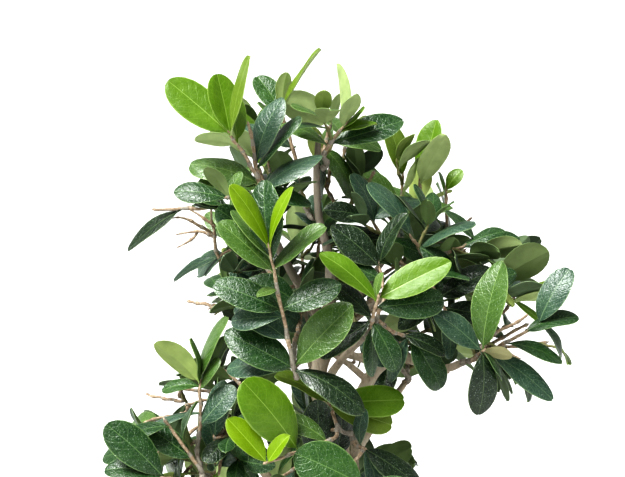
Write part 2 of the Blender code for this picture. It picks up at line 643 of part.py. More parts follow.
def ball_round(body):
    middle = sum(body.points, Vector()) / len(body.points)
    return middle, max((point - middle).length for point in body.points)


def rule_tip(mass, number, rng):
    """The tip and heading of one added shoot, spread evenly over the mass's rounded outside."""
    height = 1.0 - 2.0 * (number + 0.5) / mass.count
    turn = number * GOLDEN + rng.uniform(-TIP_TURN, TIP_TURN) + mass.seed
    flat = math.sqrt(1.0 - height * height)
    way = Vector((flat * math.cos(turn), height, flat * math.sin(turn)))
    share = rng.uniform(*TIP_DEPTH)
    tip = spot(*(m + r * w * share for m, r, w in zip(mass.middle, mass.reach, way)))
    outward = (tip - CROWN_MIDDLE).normalized()
    along = outward + Vector((way.x, way.z, way.y)) * SHOOT_SPREAD + UP * SHOOT_LIFT
    return tip, along.normalized()


def seen_at(point):
    """Where a point shows on the upright plane through the trunk."""
    shows = EYE + (point - EYE) * (EYE.y / (EYE.y - point.y))
    return shows.x, shows.z


def in_rounds(place, rounds):
    return any(math.hypot(place[0] - right, place[1] - up) < radius for right, up, radius in rounds)


def in_outline(blade):
    """Whether a blade's tip is within the crown's outline and no part of it shows in a gap."""
    along = [seen_at(blade.foot + blade.axis * (blade.length * share)) for share in SKY_SHARES]
    return in_rounds(along[-1], OUTLINE) and not any(in_rounds(place, SKY) for place in along)


# ---------------------------------------------------------------- pot and soil

def rounded_ring(half_length, half_width, corner, height):
    ring = []
    for quarter in range(4):
        sign_x = (1, -1, -1, 1)[quarter]
        sign_y = (1, 1, -1, -1)[quarter]
        for step in range(CORNER_STEPS + 1):
            angle = math.pi / 2.0 * (quarter + step / CORNER_STEPS)
            ring.append(Vector((sign_x * (half_length - corner) + corner * math.cos(angle),
                                sign_y * (half_width - corner) + corner * math.sin(angle), height)))
    return ring


def rings_body(profile):
    """A closed body from rounded rings. profile: (inset from the lip's outline, height)."""
    rings = []
    for inset, height in profile:
        rings.append(rounded_ring(POT_LENGTH / 2.0 - inset, POT_WIDTH / 2.0 - inset,
                                  max(POT_CORNER - inset, INNER_CORNER), height))
    count = len(rings[0])
    faces = [tuple(reversed(range(count)))]
    for i in range(len(rings) - 1):
        for j in range(count):
            a = i * count + j
            b = i * count + (j + 1) % count
            faces.append((a, b, b + count, a + count))
    faces.append(tuple(range((len(rings) - 1) * count, len(rings) * count)))
    return Body([point for ring in rings for point in ring], faces)


def wall_inset(height):
    """How far the pot's outer wall stands in from the lip's outline at a height."""
    return LIP_OUT + POT_FLARE * (1.0 - height / POT_HEIGHT)


def pot_body():
    lip_foot = POT_HEIGHT - LIP_HEIGHT
    outside = [
        (wall_inset(0.0) + POT_FOOT_INSET, 0.0),
        (wall_inset(0.0) + POT_FOOT_INSET, POT_FOOT_HEIGHT),
        (wall_inset(POT_FOOT_HEIGHT) + FOOT_STEP, POT_FOOT_HEIGHT),
        (wall_inset(POT_FOOT_HEIGHT + FOOT_SLANT), POT_FOOT_HEIGHT + FOOT_SLANT),
        (wall_inset(lip_foot - LIP_ROUND), lip_foot - LIP_ROUND),
        (LIP_ROUND / 2.0, lip_foot),
        (0.0, lip_foot + LIP_ROUND),
        (0.0, POT_HEIGHT - LIP_ROUND),
        (LIP_ROUND, POT_HEIGHT),
    ]
    inside = [
        (LIP_OUT + POT_WALL - LIP_INNER_EDGE, POT_HEIGHT),
        (LIP_OUT + POT_WALL, POT_HEIGHT - LIP_INNER_EDGE),
        (wall_inset(POT_FLOOR) + POT_WALL, POT_FLOOR),
    ]
    return rings_body(outside + inside)


def soil_body():
    def inner(height):
        share = (height - POT_FLOOR) / (POT_HEIGHT - LIP_INNER_EDGE - POT_FLOOR)
        low = wall_inset(POT_FLOOR) + POT_WALL
        return low + (LIP_OUT + POT_WALL - low) * share + GAP

    edge = SOIL_TOP - SOIL_EDGE_DROP
    band_share, drop_share = SOIL_SHOULDER
    return rings_body([
        (inner(POT_FLOOR + GAP), POT_FLOOR + GAP),
        (inner(edge), edge),
        (inner(edge) + SOIL_EDGE_BAND * band_share, SOIL_TOP - SOIL_EDGE_DROP * drop_share),
        (inner(edge) + SOIL_EDGE_BAND, SOIL_TOP),
    ])


# ---------------------------------------------------------------- Blender objects

def material(name, kind):
    colour, roughness = COLOURS[kind]
    made = bpy.data.materials.new(name)
    made.use_nodes = True
    shader = made.node_tree.nodes["Principled BSDF"]
    shader.inputs["Base Color"].default_value = (*colour, 1.0)
    shader.inputs["Roughness"].default_value = roughness
    shader.inputs["Metallic"].default_value = 0.0
    made.diffuse_color = (*colour, 1.0)
    return made


def add_object(name, body, collection=None):
    mesh = bpy.data.meshes.new(name)
    mesh.from_pydata([tuple(point * MM) for point in body.points], [], body.faces)
    mesh.validate()
    made = bpy.data.objects.new(name, mesh)
    (collection or bpy.context.scene.collection).objects.link(made)
    return made


def apply_modifiers(made):
    graph = bpy.context.evaluated_depsgraph_get()
    mesh = bpy.data.meshes.new_from_object(made.evaluated_get(graph))
    made.modifiers.clear()
    made.data = mesh


def cut_clear(made, cutter_body):
    """Cuts a limb's foot back to a clear seat on the limb that carries it."""
    cutter = add_object("cutter_" + made.name, cutter_body)
    cut = made.modifiers.new("seat", "BOOLEAN")
    cut.operation = "DIFFERENCE"
    cut.solver = "EXACT"
    cut.object = cutter
    apply_modifiers(made)
    bpy.data.objects.remove(cutter)


def keep_largest(mesh):
    """Drops loose scraps, and fills sealed hollows, by keeping the shell with the most corners."""
    work = bmesh.new()
    work.from_mesh(mesh)
    shells = []
    left = set(work.verts)
    while left:
        shell = {left.pop()}
        edge = list(shell)
        while edge:
            near = {link.other_vert(corner) for corner in edge for link in corner.link_edges} - shell
            shell |= near
            edge = list(near)
        left -= shell
        shells.append(shell)
    shells.sort(key=len)
    spare = [corner for shell in shells[:-1] for corner in shell]
    bmesh.ops.delete(work, geom=spare, context="VERTS")
    work.to_mesh(mesh)
    work.free()


def fuse(name, bodies):
    """One solid from a stem and all that grows on it."""
    made = add_object(name, bodies[0])
    group = bpy.data.collections.new("parts_" + name)
    bpy.context.scene.collection.children.link(group)
    for i, body in enumerate(bodies[1:]):
        add_object(f"{name}_{i}", body, group)
    union = made.modifiers.new("fuse", "BOOLEAN")
    union.operation = "UNION"
    union.solver = "MANIFOLD"
    union.operand_type = "COLLECTION"
    union.collection = group
    apply_modifiers(made)
    for part in list(group.objects):
        bpy.data.objects.remove(part)
    bpy.data.collections.remove(group)
    keep_largest(made.data)
    return made


def finish(made, kind, smooth=0.0):
    made.data.materials.clear()
    made.data.materials.append(material(made.name, kind))
    made.data.shade_flat()
    if smooth:
        made.data.shade_smooth()
        made.data.set_sharp_from_angle(angle=smooth)


def build():
    for old in list(bpy.data.objects):
        bpy.data.objects.remove(old)
    finish(add_object("pot", pot_body()), "pot", math.radians(35))
    finish(add_object("soil", soil_body()), "soil", math.radians(35))
    finish(add_object("trunk", trunk_body()), "trunk", math.radians(50))
    for name, bough in BOUGHS.items():
        made = add_object(name, bough_body(name))
        carrier = trunk_body(GAP) if bough.carrier == "trunk" else bough_body(bough.carrier, GAP)
        cut_clear(made, carrier)
        finish(made, "bough", math.radians(50))
    growth = Growth()
    for grow in (growth.grow_named_twigs, growth.grow_named_leaves, growth.grow_by_rule):
        for name in MASSES:
            grow(name)
    for name in MASSES:
        bodies = [tube(path, radii, TWIG_SIDES) for path, radii in growth.twigs[name]]
        bodies += [blade_body(blade) for blade in growth.blades[name]]
        finish(fuse(name, bodies), "leaves")


build()
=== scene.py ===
"""The looks of an olive bonsai: bark, twigs, leaves, soil, pot, light and camera.

Lengths are in millimetres until a mesh is made. The limbs, twigs and leaves are laid out by the
same sizes and the same seeded rule as the solids that they stand for, then carried on to finer
twigs. spot(right, up, back) is the point that shows at (right, up) on the upright plane through the
trunk, seen from EYE, and lies `back` behind that plane, or before it where `back` is negative.
"""

import math
import random
from collections import namedtuple
from itertools import accumulate

import bmesh
import bpy
import numpy as np
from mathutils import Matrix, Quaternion, Vector, noise
from mathutils.bvhtree import BVHTree
from mathutils.kdtree import KDTree


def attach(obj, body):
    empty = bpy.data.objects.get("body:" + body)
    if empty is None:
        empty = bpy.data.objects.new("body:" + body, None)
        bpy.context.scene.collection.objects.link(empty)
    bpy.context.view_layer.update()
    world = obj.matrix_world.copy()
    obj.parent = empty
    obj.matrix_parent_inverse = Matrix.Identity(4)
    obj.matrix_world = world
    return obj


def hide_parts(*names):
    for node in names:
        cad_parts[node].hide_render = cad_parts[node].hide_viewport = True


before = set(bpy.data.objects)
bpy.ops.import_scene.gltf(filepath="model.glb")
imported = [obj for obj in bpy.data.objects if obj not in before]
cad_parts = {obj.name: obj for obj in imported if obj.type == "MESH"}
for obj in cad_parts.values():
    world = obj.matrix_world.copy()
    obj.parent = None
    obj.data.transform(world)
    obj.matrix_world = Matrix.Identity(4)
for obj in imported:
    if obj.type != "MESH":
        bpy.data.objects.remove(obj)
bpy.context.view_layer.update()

MM = 0.001

GAP = 0.3  # clearance between neighbouring solids
EYE = Vector((-3.5, -1094.0, 412.0))  # where the front of the tree is laid out from
FRONT = Vector((0.0, -1.0, 0.0))
UP = Vector((0.0, 0.0, 1.0))

# The pot: a rounded rectangle that widens upwards to a plain lip.
POT_LENGTH = 196.0  # over the lip
POT_WIDTH = 146.0
POT_HEIGHT = 70.0
POT_FOOT_HEIGHT = 5.0
POT_FOOT_INSET = 7.0  # how far the foot stands in from the wall above it
POT_FLARE = 12.0  # how much wider the wall is on each side at the top than at the foot
POT_CORNER = 26.0
POT_WALL = 6.0
POT_FLOOR = 9.0
LIP_HEIGHT = 9.0
LIP_OUT = 3.5
LIP_ROUND = 1.5
LIP_INNER_EDGE = 1.0
FOOT_STEP = 2.0  # the wall's lower edge: how far it stands in, and how high it slants
FOOT_SLANT = 3.0
INNER_CORNER = 3.0
SOIL_TOP = 61.0
SOIL_EDGE_DROP = 3.0  # the soil falls away a little towards the wall
SOIL_EDGE_BAND = 11.0

# The trunk, from the soil up: right, back, height and radius.
TRUNK = (
    (15.0, 3.0, SOIL_TOP + GAP, 13.0),
    (7.0, 2.0, 80.0, 11.8),
    (-5.0, 2.0, 104.0, 10.4),
    (-9.0, 2.0, 130.0, 9.2),
    (-3.0, 3.0, 157.0, 7.7),
    (7.0, 5.0, 184.0, 6.3),
    (8.0, 6.0, 203.0, 5.3),
    (0.0, 7.0, 222.0, 4.3),
    (0.5, 7.0, 243.0, 3.5),
    (4.0, 5.0, 266.0, 2.8),
    (4.5, 4.0, 286.0, 2.3),
    (-0.5, 3.0, 307.0, 1.9),
    (-1.5, 2.0, 330.0, 1.6),
    (-0.5, 0.0, 346.0, 1.4),
)
TRUNK_SIDES = 12
TRUNK_STEPS = 2  # rings for each stretch between two rows of TRUNK
FLARE_REACH = 5.0  # how far the root flare stands out past the trunk at the soil
FLARE_HEIGHT = 17.0
FLARE_LOBES = 4
FLARE_TURN = 0.6
FLARE_EVEN = 0.7  # the share of the flare that is the same all round
BOUGH_SIDES = 8
BOUGH_STEPS = 6
LIMB_CLEAR = 0.5  # twigs and leaves keep this far from every limb
TRUNK_SEAT = 0.8  # a stem that leaves the trunk begins this far outside it

# Boughs: where each leaves its carrier, the spots it bends through and ends at, and its end radii.
Bough = namedtuple("Bough", "carrier leaves_at via tip radii")
BOUGHS = {
    "bough_right": Bough("trunk", 194.0, ((23, 229, -2), (37, 241, -8), (56, 235, -18)),
                         (67, 238, -25), (3.7, 1.7)),
    "bough_front": Bough("bough_right", 0.36, ((6, 243, -22),), (-11, 238, -58), (2.2, 1.5)),
    "bough_front_right": Bough("trunk", 226.0, ((9, 238, -20),), (21, 250, -45), (2.4, 1.4)),
    "bough_front_left": Bough("trunk", 260.0, ((-15, 284, -16),), (-27, 311, -38), (2.5, 1.6)),
    "bough_right_top": Bough("trunk", 240.0, ((20, 262, 4),), (46, 281, -2), (2.6, 1.5)),
    "bough_left_back": Bough("trunk", 247.0, ((-19, 272, 16),), (-36, 289, 24), (2.3, 1.3)),
    "bough_back_right": Bough("trunk", 232.0, ((16, 266, 26),), (35, 294, 38), (2.5, 1.4)),
    "bough_back": Bough("trunk", 212.0, ((-4, 238, 32),), (-7, 262, 52), (2.7, 1.4)),
    "bough_low_front": Bough("trunk", 150.0, ((15, 172, -28),), (16, 201, -52), (3.0, 1.7)),
    "bough_low_left": Bough("trunk", 138.0, ((-30, 158, -14),), (-53, 181, -26), (3.5, 1.7)),
    "bough_low_back_left": Bough("trunk", 162.0, ((-24, 182, 26),), (-42, 204, 42), (3.0, 1.5)),
    "bough_low_back_right": Bough("trunk", 174.0, ((24, 206, 28),), (40, 228, 44), (2.8, 1.5)),
    "bough_low_back": Bough("trunk", 146.0, ((4, 162, 28),), (2, 186, 48), (2.8, 1.5)),
}

# Leaves and twigs.
LEAF_RATIO = 0.43  # width to length
LEAF_THICK = 0.021  # thickness to length, at its middle
LEAF_SUNK = 0.35  # how far its foot lies past the twig's middle
LEAF_BARE = 2.6  # leaves of one twig may meet only this near to their feet
LEAF_OUTLINE = ((0.26, 0.4), (0.72, 0.48))  # along the length, and half the width to the full width
LEAF_MIDDLE = 0.44
LEAF_ARCH = 0.10  # how far a tip bends back, to the leaf's length
TWIG_SIDES = 3
TWIG_ROOT = 1.5
TWIG_SHOOT = 1.05
TWIG_TIP = 0.75
TWIG_STEP = 16.0  # a joint for each such length of a twig
TAPER = 0.9  # a side twig's thickness to that of its carrier
LEAN = 0.3  # how far chance moves a leaf's lean, to its length
LEAN_FIRST = 0.4  # the share of that at the first try, and what each further try adds
LEAN_MORE = 0.1
FOOT_PLAY = 0.2
SPACE_MARGIN = 0.9  # a leaf lies this much nearer to its own mass than to any other
SPACE_SHARES = (-0.5, 0.0, 0.5)  # a mass's own points: these shares of its reach, and of its leaves
LEAF_SHARES = (0.35, 0.75)
STEM_SEAT = 3.0  # how far a mass's stem runs straight on from what carries it
SWAY = 9.0  # how far a twig may swing to pass round a limb
TRIES = 14

# A leaf of a named shoot: place along the shoot, the hour hand's angle from the front, its length as
# it shows, how far it turns its upper face to the front (1 fully, -1 shows its underside), its ratio,
# and how far it leans to the back, to its length (to the front where that is negative).
Leaf = namedtuple("Leaf", "along clock length show ratio lean", defaults=(LEAF_RATIO, 0.0))
Shoot = namedtuple("Shoot", "start tip tints leaves")
# middle and reach (right, up, back) are those of the mass, and count is how many shoots the seeded
# rule adds to the named ones. A shoot's tints are the letters of its leaves in TINTS.
Mass = namedtuple("Mass", "carrier seed middle reach count shoots")


def leaves(*rows):
    return tuple(Leaf(*row) for row in rows)


# A 'k' among a shoot's tints paints shade onto a leaf that lies inside the crown.
MASSES = {
    "leaves_front": Mass("bough_front", 11, (-14, 262, -36), (20, 24, 12), 2, (
        Shoot((-12, 235, -66), (-24, 293, -82), "dmkbbddbpmmdmll", leaves(
            (0.0, -60, 37, 0.9, 0.46), (0.02, 40, 40, 0.9), (0.0, 116, 37, 0.75, 0.38, -0.3),
            (0.04, -92, 33, 0.6, 0.43, 0.3), (0.24, -57, 30, 0.8, 0.43, 0.35), (0.48, -66, 35, 0.85, 0.4),
            (0.5, 64, 30, 0.85, 0.46), (0.44, -95, 25, 0.7, 0.43, 0.5), (0.66, -100, 10, 0.5, 0.6, -0.4),
            (0.8, -44, 35, 0.7), (0.82, 44, 32, 0.35), (0.86, 3, 36, 0.9, 0.42, 0.4),
            (0.9, -9, 30, 0.5, 0.38, 0.1), (1.0, -26, 34, 0.6, 0.34, -0.15),
            (1.0, 22, 31, 0.35, 0.3, -0.15))),
    )),
    "leaves_front_right": Mass("bough_front_right", 12, (32, 272, -30), (20, 18, 14), 2, (
        Shoot((24, 254, -58), (27, 269, -66), "ddkkdggp", leaves(
            (0.1, 175, 24, 0.75, 0.45), (0.25, 150, 25, 0.85, 0.44, -0.3), (0.3, -121, 31, 0.8, 0.4),
            (0.35, -45, 25, 0.7), (0.7, 82, 33, 0.9), (0.9, -46, 35, 0.6, 0.36), (0.95, 60, 39, 0.8, 0.38),
            (1.0, 6, 12, 0.6, 0.5))),
        Shoot((30, 270, -44), (28, 285, -38), "kdkk", leaves(
            (0.9, -47, 30, 0.9, 0.5), (0.5, -62, 26, 0.8), (1.0, 24, 27, 0.6), (0.3, 75, 28, 0.7))),
        Shoot((35, 252, -42), (43, 251, -34), "dbk", leaves(
            (1.0, 148, 30, 0.9, 0.48), (0.9, 208, 24, 0.6), (0.6, 112, 22, 0.7))),
    )),
    "leaves_front_left": Mass("bough_front_left", 13, (-30, 320, -22), (14, 14, 10), 1, (
        Shoot((-27, 315, -41), (-33, 350, -42), "mbmbdd", leaves(
            (0.22, -71, 34, 0.75), (0.14, 56, 33, 0.5), (0.16, -84, 30, 0.6), (0.5, 19, 33, 0.85),
            (0.42, 33, 32, 0.2), (0.1, 100, 24, 0.6))),
        Shoot((-35, 336, -48), (-42, 346, -52), "ggygm", leaves(
            (1.0, -48, 39, 0.95), (1.0, -10, 29, 0.9, 0.5, 0.15), (0.97, 8, 38, 0.3, 0.32, -0.2),
            (0.6, -3, 34, 0.6, 0.43, 0.25), (0.5, -78, 20, -0.6, 0.5))),
        Shoot((-33, 315, -46), (-43, 316, -52), "dom", leaves(
            (1.0, -79, 26, 0.7), (0.95, -46, 18, -0.8), (1.0, 22, 14, 0.8, 0.5))),
    )),
    "leaves_top": Mass("trunk", 14, (8, 338, 22), (24, 16, 12), 3, (
        Shoot((2, 338, -6), (12, 351, -9), "ymdggm", leaves(
            (1.0, -2, 28, -0.5), (0.9, 12, 18, -0.8, 0.5, -0.6), (0.3, 70, 36, 0.85, 0.4), (0.8, 40, 15, 0.2),
            (0.7, 72, 18, 0.5), (0.2, -60, 24, 0.4))),
        Shoot((2, 338, 8), (5, 352, 14), "mmmmk", leaves(
            (1.0, -67, 25, -0.9, 0.62), (0.9, 12, 15, -0.6), (0.4, 96, 26, 0.6),
            (0.1, 146, 27, 0.7, 0.43, 0.3), (0.05, 190, 24, 0.6, 0.43, 0.3))),
    )),
    "leaves_top_left": Mass("trunk", 15, (-24, 332, 24), (18, 18, 14), 3, (
        Shoot((-11, 332, 2), (-18, 357, 4), "yyomb", leaves(
            (1.0, 26, 34, 0.2, 0.2), (1.0, 3, 18, -0.8), (0.85, -23, 25, 0.85), (0.5, -28, 22, 0.3),
            (0.3, -62, 25, 0.6))),
    )),
    "leaves_back_right": Mass("bough_back_right", 16, (50, 302, 58), (28, 20, 20), 4, (
        Shoot((37, 303, 38), (39, 326, 40), "yymm", leaves(
            (1.0, -12, 27, 0.7), (0.6, 17, 20, -0.5), (0.5, -51, 27, 0.6), (0.3, 80, 24, 0.5))),
        Shoot((46, 308, 42), (47, 325, 44), "gym", leaves(
            (1.0, 12, 29, 0.8), (0.9, 22, 27, -0.95), (0.3, -70, 26, 0.6))),
        Shoot((59, 298, 42), (59, 320, 45), "gmm", leaves(
            (1.0, 34, 12, 0.8, 0.6), (0.8, -8, 13, 0.3), (0.05, -60, 26, 0.6))),
    )),
    "leaves_right_top": Mass("bough_right_top", 17, (72, 284, 30), (26, 16, 18), 3, (
        Shoot((50, 287, -8), (43, 298, -16), "bdbm", leaves(
            (1.0, -35, 32, 0.6), (0.6, 128, 22, 0.9), (0.45, 75, 29, 0.3), (0.7, -29, 23, 0.5))),
        Shoot((64, 292, 10), (77, 298, 14), "dddd", leaves(
            (0.2, 66, 22, 0.5), (1.0, 60, 18, 0.45), (1.0, 94, 27, 0.5), (0.7, -40, 20, 0.5))),
        Shoot((72, 274, -4), (82, 277, -2), "doog", leaves(
            (0.6, -82, 30, 0.9, 0.5), (0.9, -70, 22, -0.8, 0.43, 0.6), (1.0, 58, 29, -0.85, 0.6),
            (0.8, 130, 16, -0.5))),
        Shoot((86, 262, 2), (91, 268, 4), "yyg", leaves(
            (1.0, 62, 27, 0.5, 0.3), (0.8, 76, 22, -0.6, 0.3), (1.0, 106, 20, 0.5, 0.25))),
        Shoot((52, 276, -6), (60, 262, -6), "kkbk", leaves(
            (0.5, 60, 28, 0.8, 0.5), (0.85, 100, 28, 0.8), (0.9, 170, 24, 0.7), (0.6, -120, 24, 0.7))),
        Shoot((40, 284, 2), (24, 306, -2), "bbdkk", leaves(
            (0.9, -20, 26, 0.7), (1.0, 40, 26, 0.7), (0.6, 110, 24, 0.8), (0.6, -80, 26, 0.7),
            (1.0, -74, 22, 0.8, 0.43, -0.3))),
    )),
    "leaves_right": Mass("bough_right", 18, (90, 250, 0), (20, 14, 20), 6, (
        Shoot((71, 239, -30), (77, 244, -37), "mbktd", leaves(
            (1.0, 9, 43, 0.85, 0.38), (0.9, -48, 29, 0.85), (0.95, 180, 31, 0.9), (0.8, 95, 15, -0.8),
            (0.95, 141, 17, 0.3))),
        Shoot((76, 241, -30), (106, 258, -24), "bdbdd", leaves(
            (0.12, 122, 38, 0.6, 0.32), (0.4, 105, 28, 0.55, 0.34), (0.9, 26, 30, 0.8), (0.7, 70, 26, 0.5),
            (0.95, 150, 20, 0.5))),
    )),
    "leaves_low_left": Mass("bough_low_left", 26, (-66, 190, -4), (26, 22, 22), 4, (
        Shoot((-57, 208, -20), (-57, 229, -20), "pmmmobb", leaves(
            (1.0, -45, 28, -0.9, 0.46), (0.8, 27, 18, 0.5), (1.0, 17, 33, 0.35), (0.95, -5, 22, 0.3),
            (0.9, -94, 18, 0.5), (0.3, -106, 30, 0.35, 0.26), (0.0, 38, 25, 0.8, 0.48))),
        Shoot((-57, 187, -28), (-73, 210, -30), "ddd", leaves(
            (0.2, -53, 29, 0.9), (0.5, 12, 22, 0.25), (0.9, -100, 24, 0.4))),
        Shoot((-59, 181, -34), (-74, 183, -42), "dddd", leaves(
            (1.0, -44, 37, 0.9, 0.44), (0.9, -79, 30, 0.7), (1.0, -130, 28, 0.7), (0.7, 168, 26, 0.7))),
        Shoot((-50, 185, -8), (-50, 202, -5), "bbb", leaves(
            (1.0, 6, 28, 0.8), (0.3, -6, 24, 0.8), (0.2, 70, 26, 0.6))),
    )),
    "leaves_low_front": Mass("bough_low_front", 31, (2, 178, -48), (34, 14, 18), 4, (
        Shoot((9, 207, -56), (4, 219, -50), "gyy", leaves(
            (1.0, 87, 37, 0.85, 0.4, 0.1), (0.9, 106, 32, 0.85, 0.44), (1.0, -59, 28, 0.6, 0.43, 0.2))),
        Shoot((5, 201, -62), (-25, 190, -76), "gmlld", leaves(
            (0.5, -35, 42, 0.95, 0.5, -0.25), (0.05, -60, 24, 0.7), (1.0, -38, 28, 0.75, 0.44),
            (1.0, 32, 17, 0.6, 0.5), (0.3, 150, 28, 0.7))),
        Shoot((17, 199, -56), (21, 197, -60), "kbb", leaves(
            (1.0, 123, 36, 0.8, 0.4), (0.6, 2, 18, 0.7), (0.9, 160, 26, 0.7))),
        Shoot((13, 184, -66), (21, 179, -76), "omdm", leaves(
            (1.0, -62, 36, 0.9, 0.6), (0.8, 150, 28, 0.7), (1.0, 98, 28, 0.7), (0.7, -140, 24, 0.6))),
    )),
    "leaves_left_back": Mass("bough_left_back", 21, (-56, 280, 44), (24, 24, 22), 10, (
        Shoot((-34, 311, 6), (-77, 311, 6), "kdm", leaves(
            (0.72, -123, 32, 0.6, 0.34), (0.35, 150, 24, 0.5), (0.2, 20, 22, 0.4))),
        Shoot((-38, 294, 20), (-46, 289, 20), "bbbbb", leaves(
            (0.5, -129, 17, 0.3, 0.3), (1.0, -113, 26, 0.5, 0.28), (0.75, -127, 20, 0.8, 0.4, 0.3),
            (0.8, 138, 28, 0.9), (0.5, 100, 26, 0.6))),
    )),
    "leaves_back": Mass("bough_back", 22, (-12, 282, 76), (40, 34, 26), 10, ()),
    "leaves_low_back_right": Mass("bough_low_back_right", 23, (40, 246, 62), (28, 22, 28), 8, ()),
    "leaves_low_back_left": Mass("bough_low_back_left", 24, (-56, 216, 54), (34, 28, 30), 12, ()),
    "leaves_low_back": Mass("bough_low_back", 25, (2, 198, 66), (36, 22, 26), 7, ()),
}
# Where a mass meets the trunk and not a bough: the height there, and the side it leaves to.
TRUNK_STEMS = {
    "leaves_top": (331.0, Vector((0.8, -0.3, 0.7))),
    "leaves_top_left": (304.0, Vector((-0.8, 0.1, 0.7))),
}
# The crown's outline from the front: leaves that the rule adds stay inside these rounds.
OUTLINE = (
    (-20, 325, 50), (18, 305, 52), (48, 290, 40), (84, 270, 34), (-40, 278, 31),
    (92, 252, 33), (46, 250, 25), (0, 232, 50), (-58, 222, 24), (-70, 182, 40), (-4, 185, 52),
)

# Gaps in the crown, seen from the front: no leaf that the rule adds shows in these rounds.
SKY = (
    (-60, 298, 11), (-66, 270, 13), (-54, 256, 8), (-61, 221, 9), (12, 245, 8), (42, 227, 8),
    (23, 208, 9), (99, 245, 10), (69, 310, 8), (41, 326, 5), (-80, 226, 8), (17, 236, 8), (37, 204, 8),
    (61, 228, 8), (-70, 222, 8), (-76, 215, 7), (-58, 207, 6),
)
SKY_SHARES = (0.3, 0.65, 1.0)  # the places along a leaf that are held against them

RULE_LEAF = (26.0, 35.0)  # lengths of the leaves that the rule adds
RULE_SHOOT = (17.0, 25.0)  # lengths of its shoots
RULE_PAIRS = 4
RULE_FIRST_PAIR = 0.35  # where the oldest pair stands, in pairs from the shoot's foot
RULE_TRIES = 40
RULE_TURN = 0.3  # chance in a leaf's angle round its shoot
RULE_SPREAD = 0.15  # chance in the angle between a leaf and its shoot
RULE_RATIO = (0.85, 1.1)  # chance in a leaf's width
RULE_YOUNG = 0.25  # how much shorter leaves get towards the shoot's tip
RULE_YOUNG_FROM = 0.6
LEAF_LIFT = 0.12  # how far leaves lift towards the sky
FACE_ALONG = 0.6  # a leaf's upper face turns along its shoot, out of the crown and to the sky
FACE_OUT = 0.5
FACE_UP = 0.7
TIP_TURN = 0.5  # chance in where a shoot ends, round the mass and between its middle and outside
TIP_DEPTH = (0.6, 1.0)
SHOOT_SPREAD = 0.5  # a shoot heads out of the crown, away from its mass's middle and to the sky
SHOOT_LIFT = 0.35
SPREAD_OLD = math.radians(78)  # angle between a shoot and its oldest leaves
SPREAD_YOUNG = math.radians(32)
GOLDEN = math.pi * (3.0 - math.sqrt(5.0))
CROWN_MIDDLE = Vector((0.0, 0.0, 262.0))
# What a mass's seed is multiplied by, for each use of chance.
RULE_SEED = 7
TINT_SEED = 5
FINE_SEED = 17
FORM_SEED = 29
TWIG_SEED = 3  # the rest are seeds in themselves
GRANULE_SEED = 8
NOISE_SEED = 1

# How the finer twigs grow: one shoot to each such length of twig, where along it, and their sizes.
FINE_EVERY = 14.0
FINE_PLACE = (0.12, 0.97)
FINE_TRIES = 6
FINE_SHOOT = (7.0, 15.0)
FINE_ROOT = 0.75
FINE_TIP = 0.5
FINE_BOW = 0.8
FINE_LEAF = (22.0, 30.0)
FINE_BEHIND = -22.0  # none stands nearer to the front
FINE_ALONG = 0.7
FINE_OUT = 0.5
FINE_UP = 0.25

# A leaf's colours, as 0 to 255 values: its upper face and its underside.
TINTS = {
    "k": ((12, 32, 12), (58, 74, 48)),  # painted shade: full-grown leaves darkened where they lie deep inside the crown
    "d": ((24, 56, 20), (100, 120, 76)),  # full-grown
    "b": ((46, 72, 56), (96, 114, 84)),  # full-grown, bluish
    "m": ((64, 92, 38), (154, 170, 118)),  # this year's
    "g": ((78, 110, 14), (156, 172, 100)),  # new
    "y": ((92, 114, 36), (170, 186, 128)),  # new and thin
    "l": ((100, 128, 6), (148, 168, 46)),  # newest
    "o": ((38, 72, 24), (112, 128, 82)),  # folded up, its olive underside out
    "p": ((76, 102, 42), (138, 154, 92)),
    "t": ((156, 152, 114), (164, 160, 120)),  # faded
}
VEINS = 8.0  # side veins of a leaf's full length
VEIN_SLANT = 1.9
VEIN_BOW = 1.3
VEIN_DRIFT = 1.2  # how far chance moves a vein, in veins, and the size of that unevenness
VEIN_DRIFT_SIZE = 7.0
VEIN_SHARE = 0.11
NET = (1.9, 0.14)  # the meshes and threads of the net of small veins
PALE = (196, 214, 150)  # what veins, midribs and edges are paler towards, and how far
# PALE_PATCH: how far the paler patches, partly painted sheen, go towards PALE
PALE_PATCH = 0.12
PALE_VEIN = 0.3
PALE_NET = 0.25
PALE_EDGE = 0.5
EDGE_FROM = (0.92, 0.99)  # the pale edge, across the leaf
EDGE_SHARE = 0.7
# Tints of the leaves that the rule adds, oldest pair first, and how often each spray comes up.
# A 'k' in a spray paints shade onto its oldest pairs, which stand deepest in the crown.
SPRAYS = ("kddm", "dddd", "kbdd", "dmmg", "mmgl", "kbbd")
SPRAY_SHARES = (6, 6, 4, 3, 1, 3)
FINE_SPRAYS = ("kkdd", "dddd", "kbbb", "ddmm", "mmgg")
FINE_SHARES = (7, 6, 4, 3, 1)
TOP_SPRAY = "dmmg"  # what the sprays above this height take
TOP_FROM = 326.0

